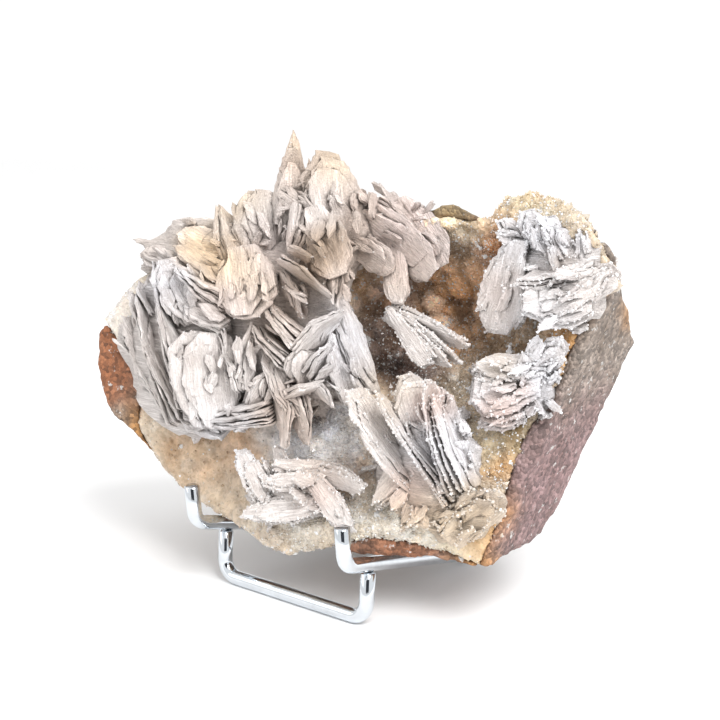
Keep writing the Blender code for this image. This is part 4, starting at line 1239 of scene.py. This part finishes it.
class SPECIMEN_OT_rock(Operator):
    """Makes the iron-stained rock"""

    bl_idname = "specimen.rock"
    bl_label = "Rock"

    def execute(self, context):
        settings = context.scene.specimen.rock
        points, _, faces = rock_surface(settings)
        tint = painted(points, ROCK_SPOTS, settings, "stone")
        values = {"tint": with_alpha(tint), "openness": np.ones(len(points))}
        finish = finish_named("rock", rock_finish)
        make_piece("rock_matrix", points, faces, finish, values, "matrix_rock", "rock")
        return {"FINISHED"}


class SPECIMEN_OT_crust(Operator):
    """Makes the quartz crust"""

    bl_idname = "specimen.crust"
    bl_label = "Quartz crust"

    def execute(self, context):
        settings = context.scene.specimen.quartz
        points, bright, faces = quartz_surface(settings)
        # The crust's colour carries painted shade in the seams and painted light in the vug, with
        # each lump's own tone
        tint = painted(points, QUARTZ_SPOTS, settings, "sand") * bright
        values = {"tint": with_alpha(tint), "openness": np.ones(len(points))}
        values["druse"] = druse_share(points)
        finish = finish_named("quartz", quartz_finish)
        make_piece("quartz_skin", points, faces, finish, values, "quartz_crust", "quartz")
        return {"FINISHED"}


class SPECIMEN_OT_barite(Operator):
    """Makes the clusters of barite plates"""

    bl_idname = "specimen.barite"
    bl_label = "Barite clusters"

    def execute(self, context):
        for key in CLUSTERS:
            build_cluster(key)
        return {"FINISHED"}


class SPECIMEN_OT_druse(Operator):
    """Makes the small quartz crystals on the crust and on the rims of the barite"""

    bl_idname = "specimen.druse"
    bl_label = "Quartz druse"

    def execute(self, context):
        settings = context.scene.specimen.quartz
        chance = np.random.default_rng(12)
        crust = bpy.data.objects["quartz_skin"]
        points, normals, _ = arrays_of(crust.data)
        colours = np.empty(len(points) * 4, np.float32)
        crust.data.attributes["tint"].data.foreach_get("color", colours)
        colours = colours.reshape(-1, 4)[:, :3]
        share = druse_share(points) * (normals @ np.array(TOWARDS) > -0.1)
        room = min(settings.count, int(np.count_nonzero(share)))
        picks = chance.choice(len(points), room, replace=False, p=share / share.sum())
        directions = astray(normals[picks], 0.38, chance)
        bright = chance.random(len(picks)) < GLINT_SHARE
        lengths = settings.point * np.exp(chance.normal(size=len(picks)) * 0.35)
        lengths *= np.where(bright, 0.55, 0.85)
        slim = chance.uniform(0.5, 0.85, len(picks))
        shape = crystal_arrays(points[picks], directions, lengths, slim, chance)
        # The bright crystals are painted white, as glints
        tint = np.repeat(np.where(bright[:, None], 0.92, colours[picks] * 1.15 + 0.01), 6, 0)
        finish = finish_named("druse", druse_finish)
        make_piece("quartz_points", *shape, finish, {"tint": with_alpha(tint)}, None, "quartz", False)

        sites = [SITES[i] for i in chance.permutation(len(SITES))[:settings.sugar]]
        places, normals, lengths, tints = (np.array(column) for column in zip(*sites))
        directions = astray(normals, 0.45, chance)
        slim = chance.uniform(0.55, 0.9, len(places))
        shape = crystal_arrays(places, directions, lengths * MM, slim, chance)
        tint = np.repeat(tints, 6, 0)
        make_piece("quartz_sugar", *shape, finish, {"tint": with_alpha(tint)}, None, "quartz", False)
        return {"FINISHED"}


class SPECIMEN_OT_crevices(Operator):
    """Finds how open each surface is, for the painted shade and the stain in the crevices"""

    bl_idname = "specimen.crevices"
    bl_label = "Crevices"

    def execute(self, context):
        names = ["rock_matrix", "quartz_skin"] + [row[0] for row in CLUSTERS.values()]
        arrays = [arrays_of(bpy.data.objects[name].data) for name in names]
        points, faces = joined([(place, quads) for place, _, quads in arrays])
        tree = BVHTree.FromPolygons(points.tolist(), faces)
        rays = 8
        for name, (place, normal, _) in zip(names, arrays):
            open_share = openness(place, normal, tree, CREVICE_REACH, rays)
            layer = bpy.data.objects[name].data.attributes["openness"]
            layer.data.foreach_set("value", open_share.astype(np.float32))
        return {"FINISHED"}


class SPECIMEN_OT_stand(Operator):
    """Makes the chromed wire stand"""

    bl_idname = "specimen.stand"
    bl_label = "Wire stand"

    def execute(self, context):
        settings = context.scene.specimen.stand
        finish = finish_named("chrome", chrome_finish, settings)
        radius = settings.wire / MM / 2
        flat = radius * cos(pi / 8)
        tilt, lean = radians(ARM_TILT), radians(REST_TILT)
        arm, rest = Vector((0, -cos(tilt), sin(tilt))), Vector((0, sin(lean), cos(lean)))
        inward = (arm + rest).normalized() / sin(arm.angle(rest) / 2)
        low = flat + BEND - BEND * inward.z
        back = (HOOK_HEIGHT - low) / tan(tilt)
        half = []
        for side in (-1, 1):
            hook, foot = arm_point(0, side), arm_point(back, side)
            tip = hook + Vector((0, -1, HOOK_RISE))
            top = foot + rest * REST_HEIGHT
            top.x = (top.x - STAND_AT.x) * REST_TAPER + STAND_AT.x
            half.append([tip, hook, foot, top])
        path = wire_path(half[0] + half[1][::-1], BEND)
        points, faces = wire_arrays(path, radius, settings.sides)
        points[:, 2] = np.maximum(points[:, 2], 0)
        make_piece("stand_wire", points, faces, finish, {}, "stand_cradle", "stand")

        left, right = arm_point(FOOT_BACK, -1), arm_point(FOOT_BACK, 1)
        drop = Vector((0, 0, (radius + 0.1) / cos(tilt)))
        down = Vector((0, -FOOT_LEAN, flat + STAND_AT.z - left.z))
        path = wire_path([left - drop, left + down, right + down, right - drop], BEND)
        points, faces = wire_arrays(path, radius, settings.sides)
        points[:, 2] = np.maximum(points[:, 2], 0)
        make_piece("stand_foot", points, faces, finish, {}, "stand_front_foot", "stand")
        return {"FINISHED"}


def area_light(name, place, aim, size, power):
    """A soft light that points at a place."""
    lamp = bpy.data.lights.new(name, "AREA")
    lamp.shape = "RECTANGLE"
    lamp.size, lamp.size_y = size
    lamp.energy = power
    thing = bpy.data.objects.new(name, lamp)
    thing.location = place
    thing.rotation_euler = (Vector(aim) - Vector(place)).to_track_quat("-Z", "Y").to_euler()
    bpy.context.scene.collection.objects.link(thing)


class SPECIMEN_OT_stage(Operator):
    """Sets up the floor, the lights and the camera"""

    bl_idname = "specimen.stage"
    bl_label = "Stage"

    def execute(self, context):
        scene = context.scene
        settings = scene.specimen.stage
        half, back, bend, wall = 4.0, 1.1, 0.5, 1.6
        profile = [(-half, 0.0)]
        for i in range(17):
            angle = pi / 2 * i / 16
            profile.append((back + bend * sin(angle), bend - bend * cos(angle)))
        profile.append((back + bend, wall))
        turn = Matrix.Rotation(radians(EYE_AZIMUTH), 3, "Z")
        points, faces = [], []
        for side in (-half, half):
            points += [turn @ Vector((side, depth, height)) for depth, height in profile]
        count = len(profile)
        for i in range(count - 1):
            faces.append((i, count + i, count + i + 1, i + 1))
        mesh = bpy.data.meshes.new("backdrop")
        mesh.from_pydata(points, [], faces)
        mesh.polygons.foreach_set("use_smooth", [True] * len(faces))
        mesh.materials.append(plain_finish("paper", linear(settings.floor)))
        backdrop = bpy.data.objects.new("backdrop", mesh)
        scene.collection.objects.link(backdrop)

        aim = (0, 0, 0.06)
        area_light("key", (0.62, -0.28, 0.75), aim, (0.5, 0.5), settings.key)
        area_light("fill", (-0.55, -0.65, 0.45), aim, (0.6, 0.5), settings.fill)
        world = bpy.data.worlds.new("room")
        world.use_nodes = True
        world.node_tree.nodes["Background"].inputs["Color"].default_value = (1, 1, 1, 1)
        world.node_tree.nodes["Background"].inputs["Strength"].default_value = settings.sky
        scene.world = world
        scene.view_settings.view_transform = "Standard"

        mesh = bpy.data.meshes.new("dark card")
        corners = [(-0.3, -0.2, 0), (0.3, -0.2, 0), (0.3, 0.2, 0), (-0.3, 0.2, 0)]
        mesh.from_pydata(corners, [], [(0, 1, 2, 3)])
        mesh.materials.append(plain_finish("black card", (0.02, 0.022, 0.028)))
        card = bpy.data.objects.new("dark card", mesh)
        card.location = TOWARDS * 0.8 + Vector((0, 0, 0.08))
        card.rotation_euler = TOWARDS.to_track_quat("Z", "Y").to_euler()
        card.visible_camera = False
        card.visible_diffuse = False
        scene.collection.objects.link(card)

        lens = bpy.data.cameras.new("camera")
        lens.lens = 70
        lens.sensor_width = 36
        lens.clip_start = 0.01
        camera = bpy.data.objects.new("camera", lens)
        towards = view_axes(CAMERA_AZIMUTH, CAMERA_ELEVATION)[2]
        camera.location = CAMERA_TARGET + towards * CAMERA_DISTANCE
        camera.rotation_euler = (-towards).to_track_quat("-Z", "Y").to_euler()
        scene.collection.objects.link(camera)
        scene.camera = camera
        return {"FINISHED"}


class SPECIMEN_PT_panel(Panel):
    """Lists the specimen's pieces and settings"""

    bl_idname = "SPECIMEN_PT_panel"
    bl_label = "Barite with quartz"
    bl_space_type = "VIEW_3D"
    bl_region_type = "UI"
    bl_category = "Specimen"

    def draw(self, context):
        settings = context.scene.specimen
        for label, part, operators in (
            ("Rock", settings.rock, (SPECIMEN_OT_rock,)),
            ("Quartz", settings.quartz, (SPECIMEN_OT_crust, SPECIMEN_OT_druse)),
            ("Barite", settings.barite, (SPECIMEN_OT_barite, SPECIMEN_OT_crevices)),
            ("Stand", settings.stand, (SPECIMEN_OT_stand,)),
            ("Stage", settings.stage, (SPECIMEN_OT_stage,)),
        ):
            box = self.layout.box()
            box.label(text=label)
            for key in part.__annotations__:
                box.prop(part, key)
            for operator in operators:
                box.operator(operator.bl_idname)


CLASSES = (
    BariteSettings,
    QuartzSettings,
    RockSettings,
    StandSettings,
    StageSettings,
    SpecimenSettings,
    SPECIMEN_OT_rock,
    SPECIMEN_OT_crust,
    SPECIMEN_OT_barite,
    SPECIMEN_OT_druse,
    SPECIMEN_OT_crevices,
    SPECIMEN_OT_stand,
    SPECIMEN_OT_stage,
    SPECIMEN_PT_panel,
)


def register():
    for item in CLASSES:
        bpy.utils.register_class(item)
    bpy.types.Scene.specimen = PointerProperty(type=SpecimenSettings)


def unregister():
    del bpy.types.Scene.specimen
    for item in reversed(CLASSES):
        bpy.utils.unregister_class(item)


def main():
    """Builds the specimen, its stand and the stage."""
    register()
    bpy.ops.specimen.rock()
    bpy.ops.specimen.crust()
    bpy.ops.specimen.barite()
    bpy.ops.specimen.druse()
    bpy.ops.specimen.crevices()
    bpy.ops.specimen.stand()
    bpy.ops.specimen.stage()


if __name__ == "__main__":
    main()
